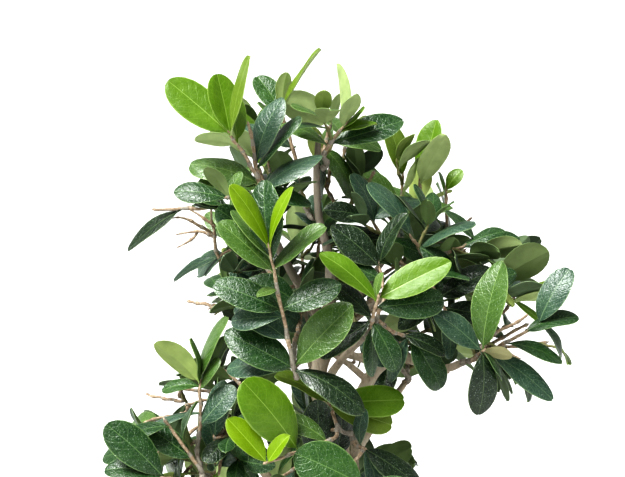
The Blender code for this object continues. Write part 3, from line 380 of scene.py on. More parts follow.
# The shape of a finished leaf.
LEAF_ROWS = 14
LEAF_COLUMNS = (-1.0, -0.74, -0.4, -0.4, 0.4, 0.4, 0.74, 1.0)  # the middle two become the midrib
RIB_COLUMNS = (3, 4)
RIB_WIDTH = 0.26
RIB_TAPER = 0.55  # how much the midrib narrows towards the tip
STALK_LENGTH = 0.06  # to the leaf's length
STALK_WIDTH = 0.55  # the least half width, over STALK_PART of the length
STALK_PART = 0.3
WIDTH_RISE = (0.6, 0.78)  # powers that shape the outline towards its foot and its tip
WIDTH_FALL = (0.46, 0.62)
BLUNT = 0.995
LEAF_BODY = 0.24  # half its thickness
EDGE_THIN = 0.6  # how much thinner its edge is
WIDTH_SHARE = 1.1  # its width to its solid's
YOUNG = "gyl"
UPPER_KIND, UNDER_KIND, RIB_KIND, EDGE_KIND = range(4)  # the finishes of each tint, in this order
CUP = (0.12, 0.38)  # how far its sides curl down again
WAVE = (0.004, 0.026)  # how far its edges wave, and how often
WAVES = 1.3
WAVE_SHIFT = 0.3  # between the waves of its two sides
TWIST = 0.3
NOTCHES = (0.0, 0.0, 0.0, 0.008, 0.014)
NOTCH_POWER = 8
SIDE_SWAY = 0.03
RIB_WIDEST = 0.34
RIB_DEPTH = 0.12
RIB_RIDGE = 0.3
ROOM_TRIES = 26  # how many forms and tilts a leaf tries, to stay clear of those laid before
ROOM_TILT = 0.022  # radians that its tip rises or sinks further at each
ROOM_STRAY = 0.3  # how far the tilt strays from straight up and down
ROOM_FROM_ROW = 3  # nearer to its foot a leaf may touch its neighbours

# Twigs.
TWIG_FINE_STEPS = 12
BARE_STEPS = 3
TWIG_FINE_SIDES = 7
BUD = ((0.5, 1.15), (0.9, 0.75), (0.8, 0.12))  # reach past the tip, and radius to the tip's
JOINT_EVERY = 7.0
JOINT_SWELL = 0.5
JOINT_LENGTH = 0.9
TWIG_SHARE = 1.18  # a twig's thickness to its solid's
TIP_TAPER = 0.3  # how much a twig thins towards its tip, beyond its solid
TIP_POWER = 3
CROOK = 0.9  # how far a twig strays from its solid, and how often to a millimetre
CROOK_RATE = 0.16
NOISE_FIELD = 50.0  # chance picks a place in the noise within this
OLD_TWIG = 1.0  # twigs thicker than this are barked

# Bare twigs: end radii, and the spots that each passes through.
BARE_TWIGS = (
    (1.0, 0.5, ((-37, 288, 24), (-46, 286, 20), (-50, 299, 17), (-51, 314, 15))),
    (0.75, 0.35, ((-50, 299, 17), (-61, 306, 12), (-68, 307, 8))),
    (0.7, 0.35, ((-50, 298, 17), (-58, 300, 20), (-67, 299, 22))),
    (0.7, 0.35, ((-50, 303, 16), (-55, 307, 18), (-60, 310, 19))),
    (0.6, 0.3, ((-58, 300, 20), (-62, 295, 22), (-66, 293, 23))),
)
BARE_LIMBS = (
    (1.7, 1.2, ((23, 229, -2), (14, 237, 0), (5, 243, 4), (0, 248, 7))),
)

# Bark.
LIMB_FINE_SIDES = 20
BOUGH_FINE_STEPS = 4
TRUNK_FINE_STEPS = 5
BOUGH_COLLAR = 0.35  # how much a bough thickens where it leaves its carrier
BOUGH_COLLAR_LENGTH = 6.0
BARK_VOXEL = 0.6
BARK_SOFTEN = 4
BARK_FULL = 9.0  # limbs of this radius carry the full relief
# The relief's noises: how often across a limb and along it, to a millimetre, and their shift.
CRACK_NOISE = (0.42, 0.075, 0.0, 0.0)
SECOND_NOISE = (0.9, 0.2, 9.0, 0.0)
LUMP_NOISE = (0.2, 0.09, 0.0, 40.0)
GRAIN_NOISE = 1.4
CRACK_WIDTH = 0.13
SECOND_WIDTH = 0.12
SECOND_SHARE = 0.5
LUMPS = 1.1
GROOVES = 0.55
GRAIN = 0.12

# Pot and soil.
CORNER_STEPS_FINE = 12
STRAIGHT_STEP = 8.0
STRAIGHT_STEPS = 14
SOFT_STEPS = 4
POT_SOFT = 1.2
SOFT_MOST = 0.45  # the most of an edge that a softened corner takes
SHARP = math.radians(38)
SOIL_INSET = LIP_OUT + POT_WALL + GAP
SOIL_SINK = 0.6  # how far the soil itself lies below its granules' tops
SOIL_ROUGH = 0.7
SOIL_LUMP = 0.12
SOIL_BEND = 1.5
SOIL_RINGS = 26
GRANULES = 1500
GRANULE = (0.7, 1.7)
GRANULE_COLOURS = ((88, 64, 44), (58, 46, 36), (128, 108, 84))
GRANULE_SHARES = (5, 4, 2)
GRANULE_STRETCH = (0.75, 1.25)
GRANULE_DENTS = (0.22, 1.3)  # their depth, and how close they lie
GRANULE_SEAT = 0.35  # how far its middle lies above the soil, to its size
GRANULE_FIELD = 99.0
GRANULE_EDGE = 2.0  # between the soil's edge and the outermost granules
FLARE_CLEAR = 16.0

# How a leaf looks: its roughness from least to most, its specular level, how strongly veins and net
# show and how deep they lie, how pale its midrib is, and how far it bulges and folds.
LeafLook = namedtuple("LeafLook", "gloss specular vein_share net_share vein_depth net_depth rib arch fold")
FULL_LOOK = LeafLook((0.24, 0.42), 0.48, 0.4, 0.35, 0.08, 0.05, 0.34, (0.05, 0.4), (0.1, 0.34))
YOUNG_LOOK = LeafLook((0.32, 0.46), 0.34, 0.2, 0.2, 0.04, 0.02, 0.35, (-0.15, 0.3), (0.2, 0.45))
LEAF_ROUGH = 0.32  # before its gloss pattern
GLOSS_SIZE = 6.0
GLOSS_DETAIL = 3.0
BACK_ROUGH = 0.62
BACK_SPECULAR = 0.3
RIB_ROUGH = 0.4
EVEN_SPECULAR = 0.5
EDGE_ROUGH = 0.5

# How patterns are stretched: along a limb they are longer than across it.
EVEN = (1.0, 1.0, 1.0)
LONG = (1.0, 1.0, 0.3)
LONGER = (1.0, 1.0, 0.25)
LONG_TWIG = (1.0, 1.0, 0.4)
# A patch of another colour shows where noise of its size passes from low to high. Relief is uneven
# ground of that depth. Sizes are in millimetres and colours from 0 to 255.
Patch = namedtuple("Patch", "size low high colour share detail stretch", defaults=(1.0, 2.0, EVEN))
Relief = namedtuple("Relief", "size depth detail stretch", defaults=(2.0, EVEN))
Surface = namedtuple("Surface", "colour roughness specular patches relief")
SURFACES = {
    "bark": Surface((166, 154, 134), 0.85, 0.25, (
        Patch(5.0, 0.5, 0.72, (122, 110, 94), 0.75, 4.0, LONG),
        Patch(14.0, 0.55, 0.7, (190, 182, 166), 0.6, 3.0),
        Patch(1.2, 0.56, 0.7, (100, 90, 76), 0.5, 3.0, LONGER)), Relief(1.6, 0.5, 4.0, LONG)),
    "twig_old": Surface((148, 142, 130), 0.85, 0.25, (
        Patch(1.6, 0.5, 0.66, (100, 90, 78), 0.8, 3.0, LONG_TWIG),
        Patch(0.9, 0.62, 0.7, (186, 180, 166), 0.7)), Relief(0.8, 0.5, 3.0)),
    "twig_young": Surface((146, 128, 106), 0.7, 0.3, (
        Patch(1.3, 0.5, 0.66, (188, 174, 152), 0.7),
        Patch(2.4, 0.55, 0.66, (100, 82, 66), 0.7, 3.0)), Relief(0.7, 0.25)),
    "twig_green": Surface((112, 114, 74), 0.6, 0.35, (
        Patch(1.5, 0.5, 0.7, (128, 108, 84), 0.6),), Relief(0.8, 0.15)),
    "stoneware": Surface((62, 58, 55), 0.5, 0.45, (
        Patch(16.0, 0.45, 0.7, (78, 70, 62), 0.7, 4.0),
        Patch(0.9, 0.66, 0.72, (108, 92, 74), 0.6)), Relief(3.0, 0.25, 4.0)),
    "soil_bed": Surface((70, 54, 40), 0.95, 0.2, (
        Patch(2.2, 0.48, 0.62, (42, 32, 24), 0.9, 4.0),
        Patch(1.4, 0.6, 0.7, (112, 90, 66), 0.7, 3.0)), Relief(1.6, 1.2, 4.0)),
    "paper": Surface((226, 226, 226), 0.9, 0.1, (), Relief(40.0, 0.05)),
}
TWIG_FINISHES = ("twig_old", "twig_young", "twig_green")
OLD_KIND, YOUNG_KIND, GREEN_KIND = range(3)  # their places in TWIG_FINISHES
STONEWARE_GLOSS = (0.36, 0.62)
GREY_WOOD = (112, 108, 102)  # what wood turns to higher up, between these heights
GREY_HEIGHTS = (225.0, 285.0)
GREY_SHARE = 0.6
LEAF_UNDER = Patch(5.0, 0.4, 0.8, (60, 80, 40))  # mixed into the underside's own tint
LEAF_UNDER_DULL = 0.2
LEAF_SPECKS = Patch(0.5, 0.62, 0.7, (176, 194, 178), 0.4)
LEAF_PALER_AND_SHEEN = Patch(8.0, 0.45, 0.75, None, detail=3.0)  # paler patches: the leaf's uneven tone together with painted sheen; its colour comes from the leaf's tint
LEAF_FACE_RELIEFS = (Relief(4.4, 0.34), Relief(0.6, 0.06))
LEAF_BACK_RELIEF = Relief(1.4, 0.1, 3.0)
RIB_RELIEF = Relief(1.0, 0.05)
EDGE_RELIEF = Relief(1.0, 0.06)
GRANULE_DAMP = (30, 24, 18)  # what granules are darker towards, and how far
GRANULE_DAMP_SHARE = 0.5
# Its colours come from GRANULE_COLOURS.
GRANULE_LOOK = Surface(None, 0.93, 0.2, (Patch(0.9, 0.45, 0.65, None, 0.7, 3.0),), Relief(0.6, 0.35, 3.0))

# Studio. Lamps: name, place, what it points at, width and power, in metres and watts.
FLOOR_REACH = 40000.0
WORLD_BAND = (0.07, 0.3)  # the wall of light round the studio dims upwards between these
WORLD_LOW = 0.97
WORLD_HIGH = 0.35
WORLD_COLOUR = (0.98, 0.99, 1.0, 1.0)
LAMPS = (
    ("lamp_above", (-0.6, -0.3, 1.4), (0.0, 0.0, 0.3), 0.7, 12.0),
)
SUN_FROM = Vector((-0.5, -0.55, 1.0))
SUN_LIGHT = 4.0
SUN_SPREAD = math.radians(26)
VIEW_TO = Vector((-3.5, 0.0, 297.1))
VIEW_FROM = 1100.0
VIEW_WIDTH = 293.75  # what the view takes in across, at the tree
VIEW_END = 200.0  # in metres

Body = namedtuple("Body", "points faces")
Blade = namedtuple("Blade", "foot axis face length width")


def spot(right, up, back):
    on_plane = Vector((right, 0.0, up))
    return EYE + (on_plane - EYE) * (1.0 - back / EYE.y)


def curve_through(points, steps):
    """Points along a smooth curve through the given ones, `steps` to each stretch."""
    rows = [points[0] * 2.0 - points[1], *points, points[-1] * 2.0 - points[-2]]
    path = []
    for a, b, c, d in zip(rows, rows[1:], rows[2:], rows[3:]):
        for step in range(steps):
            t = step / steps
            path.append(0.5 * (2 * b + (c - a) * t + (2 * a - 5 * b + 4 * c - d) * t * t
                               + (3 * b - a - 3 * c + d) * t ** 3))
    path.append(points[-1].copy())
    return path


def random_vector(rng, low, high):
    return Vector([rng.uniform(low, high) for _ in range(3)])


def tapered(path, thick, thin):
    """Radii that go evenly from thick to thin along a path."""
    return [thick + (thin - thick) * i / (len(path) - 1) for i in range(len(path))]


def on_path(path, share):
    """The point at a share of a path's stretches, and the number of its stretch."""
    place = share * (len(path) - 1)
    i = min(int(place), len(path) - 2)
    return path[i].lerp(path[i + 1], place - i), i


def distances(path):
    """How far along the path each of its points lies."""
    return list(accumulate(((b - a).length for a, b in zip(path, path[1:])), initial=0.0))


def heading(path, i):
    return (path[min(i + 1, len(path) - 1)] - path[max(i - 1, 0)]).normalized()


def across(direction, hint=UP):
    """Two unit vectors square to a direction and to each other."""
    side = direction.cross(hint)
    if side.length < 0.2:
        side = direction.cross(FRONT)
    side.normalize()
    return side, side.cross(direction)


def tube(path, radii, sides, flat_foot=False, swell=None):
    """A closed limb round a path. swell(i, angle) adds to the radius at a ring."""
    side, other = across(heading(path, 0))
    points = []
    for i, centre in enumerate(path):
        along = UP if flat_foot and i == 0 else heading(path, i)
        side = (side - along * side.dot(along)).normalized()
        other = along.cross(side)
        for j in range(sides):
            angle = math.tau * j / sides
            radius = radii[i] + (swell(i, angle) if swell else 0.0)
            points.append(centre + (side * math.cos(angle) + other * math.sin(angle)) * radius)
    return ringed(points, sides)


def ringed(points, count):
    """A closed body through rings of `count` points each."""
    faces = []
    for ring in range(0, len(points) - count, count):
        for j in range(count):
            a = ring + j
            b = ring + (j + 1) % count
            faces.append((a, b, b + count, a + count))
    faces.append(tuple(reversed(range(count))))
    faces.append(tuple(range(len(points) - count, len(points))))
    return Body(points, faces)


def tree_of(body):
    return BVHTree.FromPolygons(body.points, body.faces)


def nearest_tree(points):
    tree = KDTree(len(points))
    for i, point in enumerate(points):
        tree.insert(point, i)
    tree.balance()
    return tree


# ---------------------------------------------------------------- limbs

def trunk_path():
    rows = [Vector((right, back, height)) for right, back, height, _ in TRUNK]
    path = curve_through(rows, TRUNK_STEPS)
    radii = []
    for (*_, low), (*_, high) in zip(TRUNK, TRUNK[1:]):
        radii += [low + (high - low) * step / TRUNK_STEPS for step in range(TRUNK_STEPS)]
    return path, radii + [TRUNK[-1][3]]


def root_flare(path):
    def swell(i, angle):
        height = (path[i].z - path[0].z) / FLARE_HEIGHT
        lobes = FLARE_EVEN + (1.0 - FLARE_EVEN) * math.cos(FLARE_LOBES * angle + FLARE_TURN)
        return FLARE_REACH * lobes * max(0.0, 1.0 - height) ** 2
    return swell


def trunk_body(extra=0.0):
    path, radii = trunk_path()
    return tube(path, [radius + extra for radius in radii], TRUNK_SIDES, True, root_flare(path))


def bough_path(name):
    bough = BOUGHS[name]
    if bough.carrier == "trunk":
        path, _ = trunk_path()
        root = min(path, key=lambda point: abs(point.z - bough.leaves_at))
    else:
        path, _ = bough_path(bough.carrier)
        root = path[round(bough.leaves_at * (len(path) - 1))]
    points = [root] + [spot(*via) for via in bough.via] + [spot(*bough.tip)]
    steps = max(2, BOUGH_STEPS // (len(points) - 1))
    path = curve_through(points, steps)
    return path, tapered(path, *bough.radii)


def bough_body(name, extra=0.0):
    path, radii = bough_path(name)
    return tube(path, [radius + extra for radius in radii], BOUGH_SIDES)


def stem_start(name):
    """Where a mass's stem begins, its heading, and its radius, clear of what carries it."""
    mass = MASSES[name]
    if mass.carrier == "trunk":
        height, side = TRUNK_STEMS[name]
        path, radii = trunk_path()
        i = min(range(len(path)), key=lambda k: abs(path[k].z - height))
        out = Vector((side.x, side.y, 0.0)).normalized()
        return path[i] + out * (radii[i] + TRUNK_SEAT), side.normalized(), TWIG_ROOT
    path, radii = bough_path(mass.carrier)
    along = heading(path, len(path) - 1)
    return path[-1] + along * GAP, along, min(TWIG_ROOT, radii[-1])


# ---------------------------------------------------------------- twigs and leaves

def bend(start, leave, end, arrive, steps, sway):
    """A smooth path from start to end that leaves and arrives in the given directions."""
    reach = (end - start).length / 3.0
    b = start + leave * reach + sway
    c = end - arrive * reach + sway
    path = []
    for step in range(steps + 1):
        t = step / steps
        s = 1.0 - t
        path.append(start * s ** 3 + b * 3 * s * s * t + c * 3 * s * t * t + end * t ** 3)
    return path


def blade_body(blade, bare=-LEAF_SUNK):
    """A thin blade on a six-sided outline, from `bare` past its foot to its tip."""
    side = blade.axis.cross(blade.face)

    def at(along, out, lift=0.0):
        arch = -LEAF_ARCH * along * along
        return (blade.foot + blade.axis * (along * blade.length)
                + side * (out * blade.width) + blade.face * (arch * blade.length + lift))

    ring = [at(bare / blade.length, 0.0)]
    ring += [at(along, out) for along, out in LEAF_OUTLINE]
    ring.append(at(1.0, 0.0))
    ring += [at(along, -out) for along, out in reversed(LEAF_OUTLINE)]
    count = len(ring)
    half = LEAF_THICK * blade.length / 2.0
    points = ring + [at(LEAF_MIDDLE, 0.0, half), at(LEAF_MIDDLE, 0.0, -half)]
    faces = []
    for i in range(count):
        j = (i + 1) % count
        faces.append((i, j, count))
        faces.append((j, i, count + 1))
    return Body(points, faces)


def reach_of(leaf, lean):
    """From a leaf's foot to its tip, at the trunk's distance from the eye."""
    angle = math.radians(leaf.clock)
    return Vector((math.sin(angle), lean, math.cos(angle))) * leaf.length


def named_blade(shoot_path, leaf, rng, attempt):
    """The blade of a leaf whose heading and face are given as they look from the front.

    Its lean is varied by chance, more widely with each attempt to find it room.
    """
    foot, _ = on_path(shoot_path, leaf.along)
    foot = foot + random_vector(rng, -FOOT_PLAY, FOOT_PLAY)
    lean = leaf.lean + rng.uniform(-LEAN, LEAN) * (LEAN_FIRST + LEAN_MORE * attempt)
    axis = reach_of(leaf, lean) * (1.0 - foot.y / EYE.y)
    length = axis.length
    axis.normalize()
    to_front = (FRONT - axis * FRONT.dot(axis)).normalized()
    turned = axis.cross(to_front)
    if turned.z < 0.0:
        turned.negate()
    face = to_front * leaf.show + turned * math.sqrt(1.0 - leaf.show ** 2)
    return Blade(foot, axis, face.normalized(), length, length * leaf.ratio)


def rule_blades(path, rng):
    """Leaves in opposite pairs, each pair square to the last, opening wider with age."""
    along = heading(path, len(path) - 1)
    side, other = across(along)
    turn = rng.uniform(0.0, math.tau)
    blades = []
    for pair in range(RULE_PAIRS):
        t = (pair + RULE_FIRST_PAIR) / (RULE_PAIRS - 1 + RULE_FIRST_PAIR)
        foot = path[-2].lerp(path[-1], min(t, 1.0))
        spread = SPREAD_OLD + (SPREAD_YOUNG - SPREAD_OLD) * t
        for half in (0.0, math.pi):
            angle = turn + half + pair * math.pi / 2.0 + rng.uniform(-RULE_TURN, RULE_TURN)
            out = side * math.cos(angle) + other * math.sin(angle)
            opened = spread + rng.uniform(-RULE_SPREAD, RULE_SPREAD)
            axis = along * math.cos(opened) + out * math.sin(opened) + UP * LEAF_LIFT
            axis.normalize()
            outward = (foot - CROWN_MIDDLE).normalized()
            light = along * FACE_ALONG + outward * FACE_OUT + UP * FACE_UP
            face = (light - axis * light.dot(axis)).normalized()
            length = rng.uniform(*RULE_LEAF) * (1.0 - RULE_YOUNG * max(0.0, t - RULE_YOUNG_FROM))
            width = length * LEAF_RATIO * rng.uniform(*RULE_RATIO)
            blades.append(Blade(foot, axis, face, length, width))
    return blades


class Growth:
    """The twigs and leaves of every mass, each mass kept to its own space."""

    def __init__(self):
        self.limbs = [tree_of(trunk_body(LIMB_CLEAR))]
        self.limbs += [tree_of(bough_body(name, LIMB_CLEAR)) for name in BOUGHS]
        self.twigs = {name: [] for name in MASSES}  # (path, radii)
        self.named_twigs = {name: [] for name in MASSES}  # twig number and shoot
        self.blades = {name: [] for name in MASSES}  # (blade, tint)
        self.placed = []  # (mass and twig number or None, middle, reach, tree) of each twig and leaf
        self.space = {name: self.own_space(name) for name in MASSES}

    def own_space(self, name):
        mass = MASSES[name]
        points = []
        for i, size in enumerate(mass.reach):
            for sign in SPACE_SHARES:
                offset = [0.0, 0.0, 0.0]
                offset[i] = sign * size
                points.append(spot(*(m + o for m, o in zip(mass.middle, offset))))
        for shoot in mass.shoots:
            start = spot(*shoot.start)
            tip = spot(*shoot.tip)
            points += [start, start.lerp(tip, 0.5), tip]
            for leaf in shoot.leaves:
                foot = start.lerp(tip, leaf.along)
                points += [foot + reach_of(leaf, leaf.lean) * share for share in LEAF_SHARES]
        return nearest_tree(points)

    def owns(self, name, points):
        for point in points:
            own = self.space[name].find(point)[2]
            for other, tree in self.space.items():
                if other != name and tree.find(point)[2] < own + SPACE_MARGIN:
                    return False
        return True

    def is_free(self, body, carriers):
        """Whether a body touches no limb and nothing placed before, but the twigs that may carry it."""
        tree = tree_of(body)
        if any(tree.overlap(limb) for limb in self.limbs):
            return False
        middle, reach = ball_round(body)
        for other, centre, size, placed in self.placed:
            if other in carriers:
                continue
            if (centre - middle).length < size + reach and tree.overlap(placed):
                return False
        return True

    def place(self, body, label):
        middle, reach = ball_round(body)
        self.placed.append((label, middle, reach, tree_of(body)))

    def nearest_joint(self, name, start, arrive):
        """The place on the mass's twigs to branch from: its point, heading and radius."""
        best = None
        for path, radii in self.twigs[name]:
            for i, point in list(enumerate(path))[1:]:
                away = start - point
                back_turn = max(0.0, -heading(path, i).dot(away)) + max(0.0, -arrive.dot(away))
                cost = away.length + back_turn
                if best is None or cost < best[0]:
                    best = (cost, point, heading(path, i), radii[i])
        return best[1:]

    def add_twig(self, name, start, tip, sway):
        """A twig from the nearest joint by way of start to tip, or None where it isn't free."""
        arrive = (tip - start).normalized()
        foot = []
        if self.twigs[name]:
            point, leave, thick = self.nearest_joint(name, start, arrive)
            thick = min(thick * TAPER, TWIG_ROOT)
        else:
            seat, leave, thick = stem_start(name)
            point = seat + leave * STEM_SEAT
            foot = [seat]
        steps = 1 + int((start - point).length / TWIG_STEP)
        path = foot + bend(point, leave, start, arrive, steps, sway) + [tip]
        _, *far = distances(path)
        shoot = min(thick, TWIG_SHOOT)
        radii = [thick] + [max(TWIG_TIP, shoot + (TWIG_TIP - TWIG_SHOOT) * (reach / far[-1]))
                           for reach in far]
        skip = len(foot)  # a stem's seat may lie near its carrier
        number = len(self.twigs[name])
        siblings = [(name, other) for other in range(number)]
        if not self.is_free(tube(path[skip:], radii[skip:], TWIG_SIDES), siblings):
            return None
        self.twigs[name].append((path, radii))
        self.place(tube(path, radii, TWIG_SIDES), (name, number))
        return number

    def add_blade(self, name, twig, blade, tint):
        body = blade_body(blade, LEAF_BARE)
        if not (self.owns(name, body.points) and self.is_free(body, [(name, twig)])):
            return False
        self.blades[name].append((blade, tint))
        self.place(body, None)
        return True

    def grow_named_twigs(self, name):
        rng = random.Random(MASSES[name].seed)
        for shoot in MASSES[name].shoots:
            sway = Vector()
            for _ in range(TRIES):
                twig = self.add_twig(name, spot(*shoot.start), spot(*shoot.tip), sway)
                if twig is not None:
                    self.named_twigs[name].append((twig, shoot))
                    break
                sway = random_vector(rng, -SWAY, SWAY)

    def grow_named_leaves(self, name):
        rng = random.Random(MASSES[name].seed)
        for twig, shoot in self.named_twigs[name]:
            path = self.twigs[name][twig][0][-2:]
            for leaf, tint in zip(shoot.leaves, shoot.tints):
                for attempt in range(TRIES):
                    if self.add_blade(name, twig, named_blade(path, leaf, rng, attempt), tint):
                        break

    def grow_by_rule(self, name):
        mass = MASSES[name]
        rng = random.Random(mass.seed * RULE_SEED)
        dealer = random.Random(mass.seed * TINT_SEED)
        for number in range(mass.count):
            for _ in range(RULE_TRIES):
                tip, along = rule_tip(mass, number, rng)
                start = tip - along * rng.uniform(*RULE_SHOOT)
                twig = None
                if self.owns(name, (start, tip)):
                    twig = self.add_twig(name, start, tip, Vector())
                if twig is not None:
                    break
            else:
                continue
            tints = dealt(SPRAYS, SPRAY_SHARES, tip, dealer)
            for pair, blade in enumerate(rule_blades(self.twigs[name][twig][0], rng)):
                if in_outline(blade):
                    self.add_blade(name, twig, blade, tints[pair // 2])

    def grow_finer(self, name):
        """Side shoots with small leaves, on the twigs that are there already."""
        rng = random.Random(MASSES[name].seed * FINE_SEED)
        for path, _ in list(self.twigs[name]):
            for _ in range(round(distances(path)[-1] / FINE_EVERY)):
                foot, i = on_path(path, rng.uniform(*FINE_PLACE))
                if foot.y >= FINE_BEHIND:
                    self.add_fine_shoot(name, foot, heading(path, i), rng)

    def add_fine_shoot(self, name, foot, along, rng):
        side, other = across(along)
        for _ in range(FINE_TRIES):
            angle = rng.uniform(0.0, math.tau)
            out = side * math.cos(angle) + other * math.sin(angle)
            outward = (foot - CROWN_MIDDLE).normalized()
            way = (along * FINE_ALONG + out + outward * FINE_OUT + UP * FINE_UP).normalized()
            tip = foot + way * rng.uniform(*FINE_SHOOT)
            if not self.owns(name, (tip,)):
                continue
            path = [foot, foot.lerp(tip, 0.5) + out * FINE_BOW, tip]
            radii = [FINE_ROOT, (FINE_ROOT + FINE_TIP) / 2.0, FINE_TIP]
            siblings = [(name, number) for number in range(len(self.twigs[name]))]
            body = tube(path, radii, TWIG_SIDES)
            if not self.is_free(body, siblings):
                continue
            number = len(self.twigs[name])
            self.twigs[name].append((path, radii))
            self.place(body, (name, number))
            if not self.add_fine_leaves(name, number, rng):
                self.twigs[name].pop()
            return

    def add_fine_leaves(self, name, number, rng):
        """How many leaves found room on a fine shoot."""
        path = self.twigs[name][number][0]
        tints = dealt(FINE_SPRAYS, FINE_SHARES, path[-1], rng)
        largest = rng.uniform(*FINE_LEAF)
        found = 0
        for pair, blade in enumerate(rule_blades(path, rng)):
            share = largest / RULE_LEAF[1]
            small = blade._replace(length=blade.length * share, width=blade.width * share)
            if in_outline(small):
                found += self.add_blade(name, number, small, tints[pair // 2])
        return found


def dealt(sprays, shares, tip, rng):
    """The tints of one spray. The top of the crown is this year's growth."""
    spray = rng.choices(sprays, shares)[0]
    return TOP_SPRAY if tip.z > TOP_FROM else spray


def ball_round(body):
    middle = sum(body.points, Vector()) / len(body.points)
    return middle, max((point - middle).length for point in body.points)


def rule_tip(mass, number, rng):
    """The tip and heading of one added shoot, spread evenly over the mass's rounded outside."""
    height = 1.0 - 2.0 * (number + 0.5) / mass.count
    turn = number * GOLDEN + rng.uniform(-TIP_TURN, TIP_TURN) + mass.seed
    flat = math.sqrt(1.0 - height * height)
    way = Vector((flat * math.cos(turn), height, flat * math.sin(turn)))
    share = rng.uniform(*TIP_DEPTH)
    tip = spot(*(m + r * w * share for m, r, w in zip(mass.middle, mass.reach, way)))
    outward = (tip - CROWN_MIDDLE).normalized()
    along = outward + Vector((way.x, way.z, way.y)) * SHOOT_SPREAD + UP * SHOOT_LIFT
    return tip, along.normalized()


def seen_at(point):
    """Where a point shows on the upright plane through the trunk."""
    shows = EYE + (point - EYE) * (EYE.y / (EYE.y - point.y))
    return shows.x, shows.z


def in_rounds(place, rounds):
    return any(math.hypot(place[0] - right, place[1] - up) < radius for right, up, radius in rounds)


def in_outline(blade):
    """Whether a blade's tip is within the crown's outline and no part of it shows in a gap."""
    along = [seen_at(blade.foot + blade.axis * (blade.length * share)) for share in SKY_SHARES]
    return in_rounds(along[-1], OUTLINE) and not any(in_rounds(place, SKY) for place in along)


# ---------------------------------------------------------------- meshes

class Sheets:
    """Gathers points and faces, each with its material and its place on the surface, into one mesh."""

    def __init__(self):
        self.points = []
        self.places = []
        self.faces = []
        self.kinds = []
        self.count = 0

    def add(self, body, kinds=None, places=None):
        count = len(body.points)
        self.points.append(np.array([tuple(point) for point in body.points], float))
        self.places.append(np.zeros((count, 2)) if places is None else places)
        self.faces += [[corner + self.count for corner in face] for face in body.faces]
        self.kinds += kinds or [0] * len(body.faces)
        self.count += count

    def piece(self, name, materials, smooth=True):
        points = np.concatenate(self.points) * MM
        mesh = bpy.data.meshes.new(name)
        mesh.from_pydata(points.tolist(), [], self.faces)
        for made in materials:
            mesh.materials.append(made)
        mesh.polygons.foreach_set("material_index", self.kinds)
        corners = np.empty(len(mesh.loops), np.int32)
        mesh.loops.foreach_get("vertex_index", corners)
        places = np.concatenate(self.places)[corners]
        mesh.uv_layers.new(name="place").data.foreach_set("uv", places.astype(np.float32).ravel())
        if smooth:
            mesh.shade_smooth()
        made = bpy.data.objects.new(name, mesh)
        bpy.context.scene.collection.objects.link(made)
        return made


# ---------------------------------------------------------------- leaves

Form = namedtuple("Form", "rise fall arch fold cup wave phase twist notch sway")


def look_of(tint):
    return YOUNG_LOOK if tint in YOUNG else FULL_LOOK


def leaf_form(tint, rng):
    look = look_of(tint)
    return Form(
        rise=rng.uniform(*WIDTH_RISE),
        fall=rng.uniform(*WIDTH_FALL),
        arch=rng.uniform(*look.arch),
        fold=rng.uniform(*look.fold),
        cup=rng.uniform(*CUP),
        wave=rng.uniform(*WAVE),
        phase=rng.random(),
        twist=rng.uniform(-TWIST, TWIST),
        notch=rng.choice(NOTCHES),
        sway=rng.uniform(-SIDE_SWAY, SIDE_SWAY),
    )


def leaf_faces():
    """Faces of a leaf's upper side, underside and edge, and which material each takes."""
    columns = len(LEAF_COLUMNS)
    under = LEAF_ROWS * columns
    rim = 2 * under
    faces = []
    kinds = []
    for i in range(LEAF_ROWS - 1):
        for j in range(columns - 1):
            a = i * columns + j
            b = a + columns
            faces.append((a, a + 1, b + 1, b))
            kinds.append(RIB_KIND if (j, j + 1) == RIB_COLUMNS else UPPER_KIND)
            faces.append((under + a, under + b, under + b + 1, under + a + 1))
            kinds.append(UNDER_KIND)
    for first, turned in ((rim, False), (rim + 2 * LEAF_ROWS, True)):
        for i in range(LEAF_ROWS - 1):
            a = first + 2 * i
            face = (a, a + 2, a + 3, a + 1)
            faces.append(face[::-1] if turned else face)
            kinds.append(EDGE_KIND)
    tip = rim + 4 * LEAF_ROWS
    for first, turned in ((tip, False), (tip + 2 * columns, True)):
        for j in range(columns - 1):
            a = first + 2 * j
            face = (a, a + 2, a + 3, a + 1)
            faces.append(face[::-1] if turned else face)
            kinds.append(EDGE_KIND)
    return faces, kinds


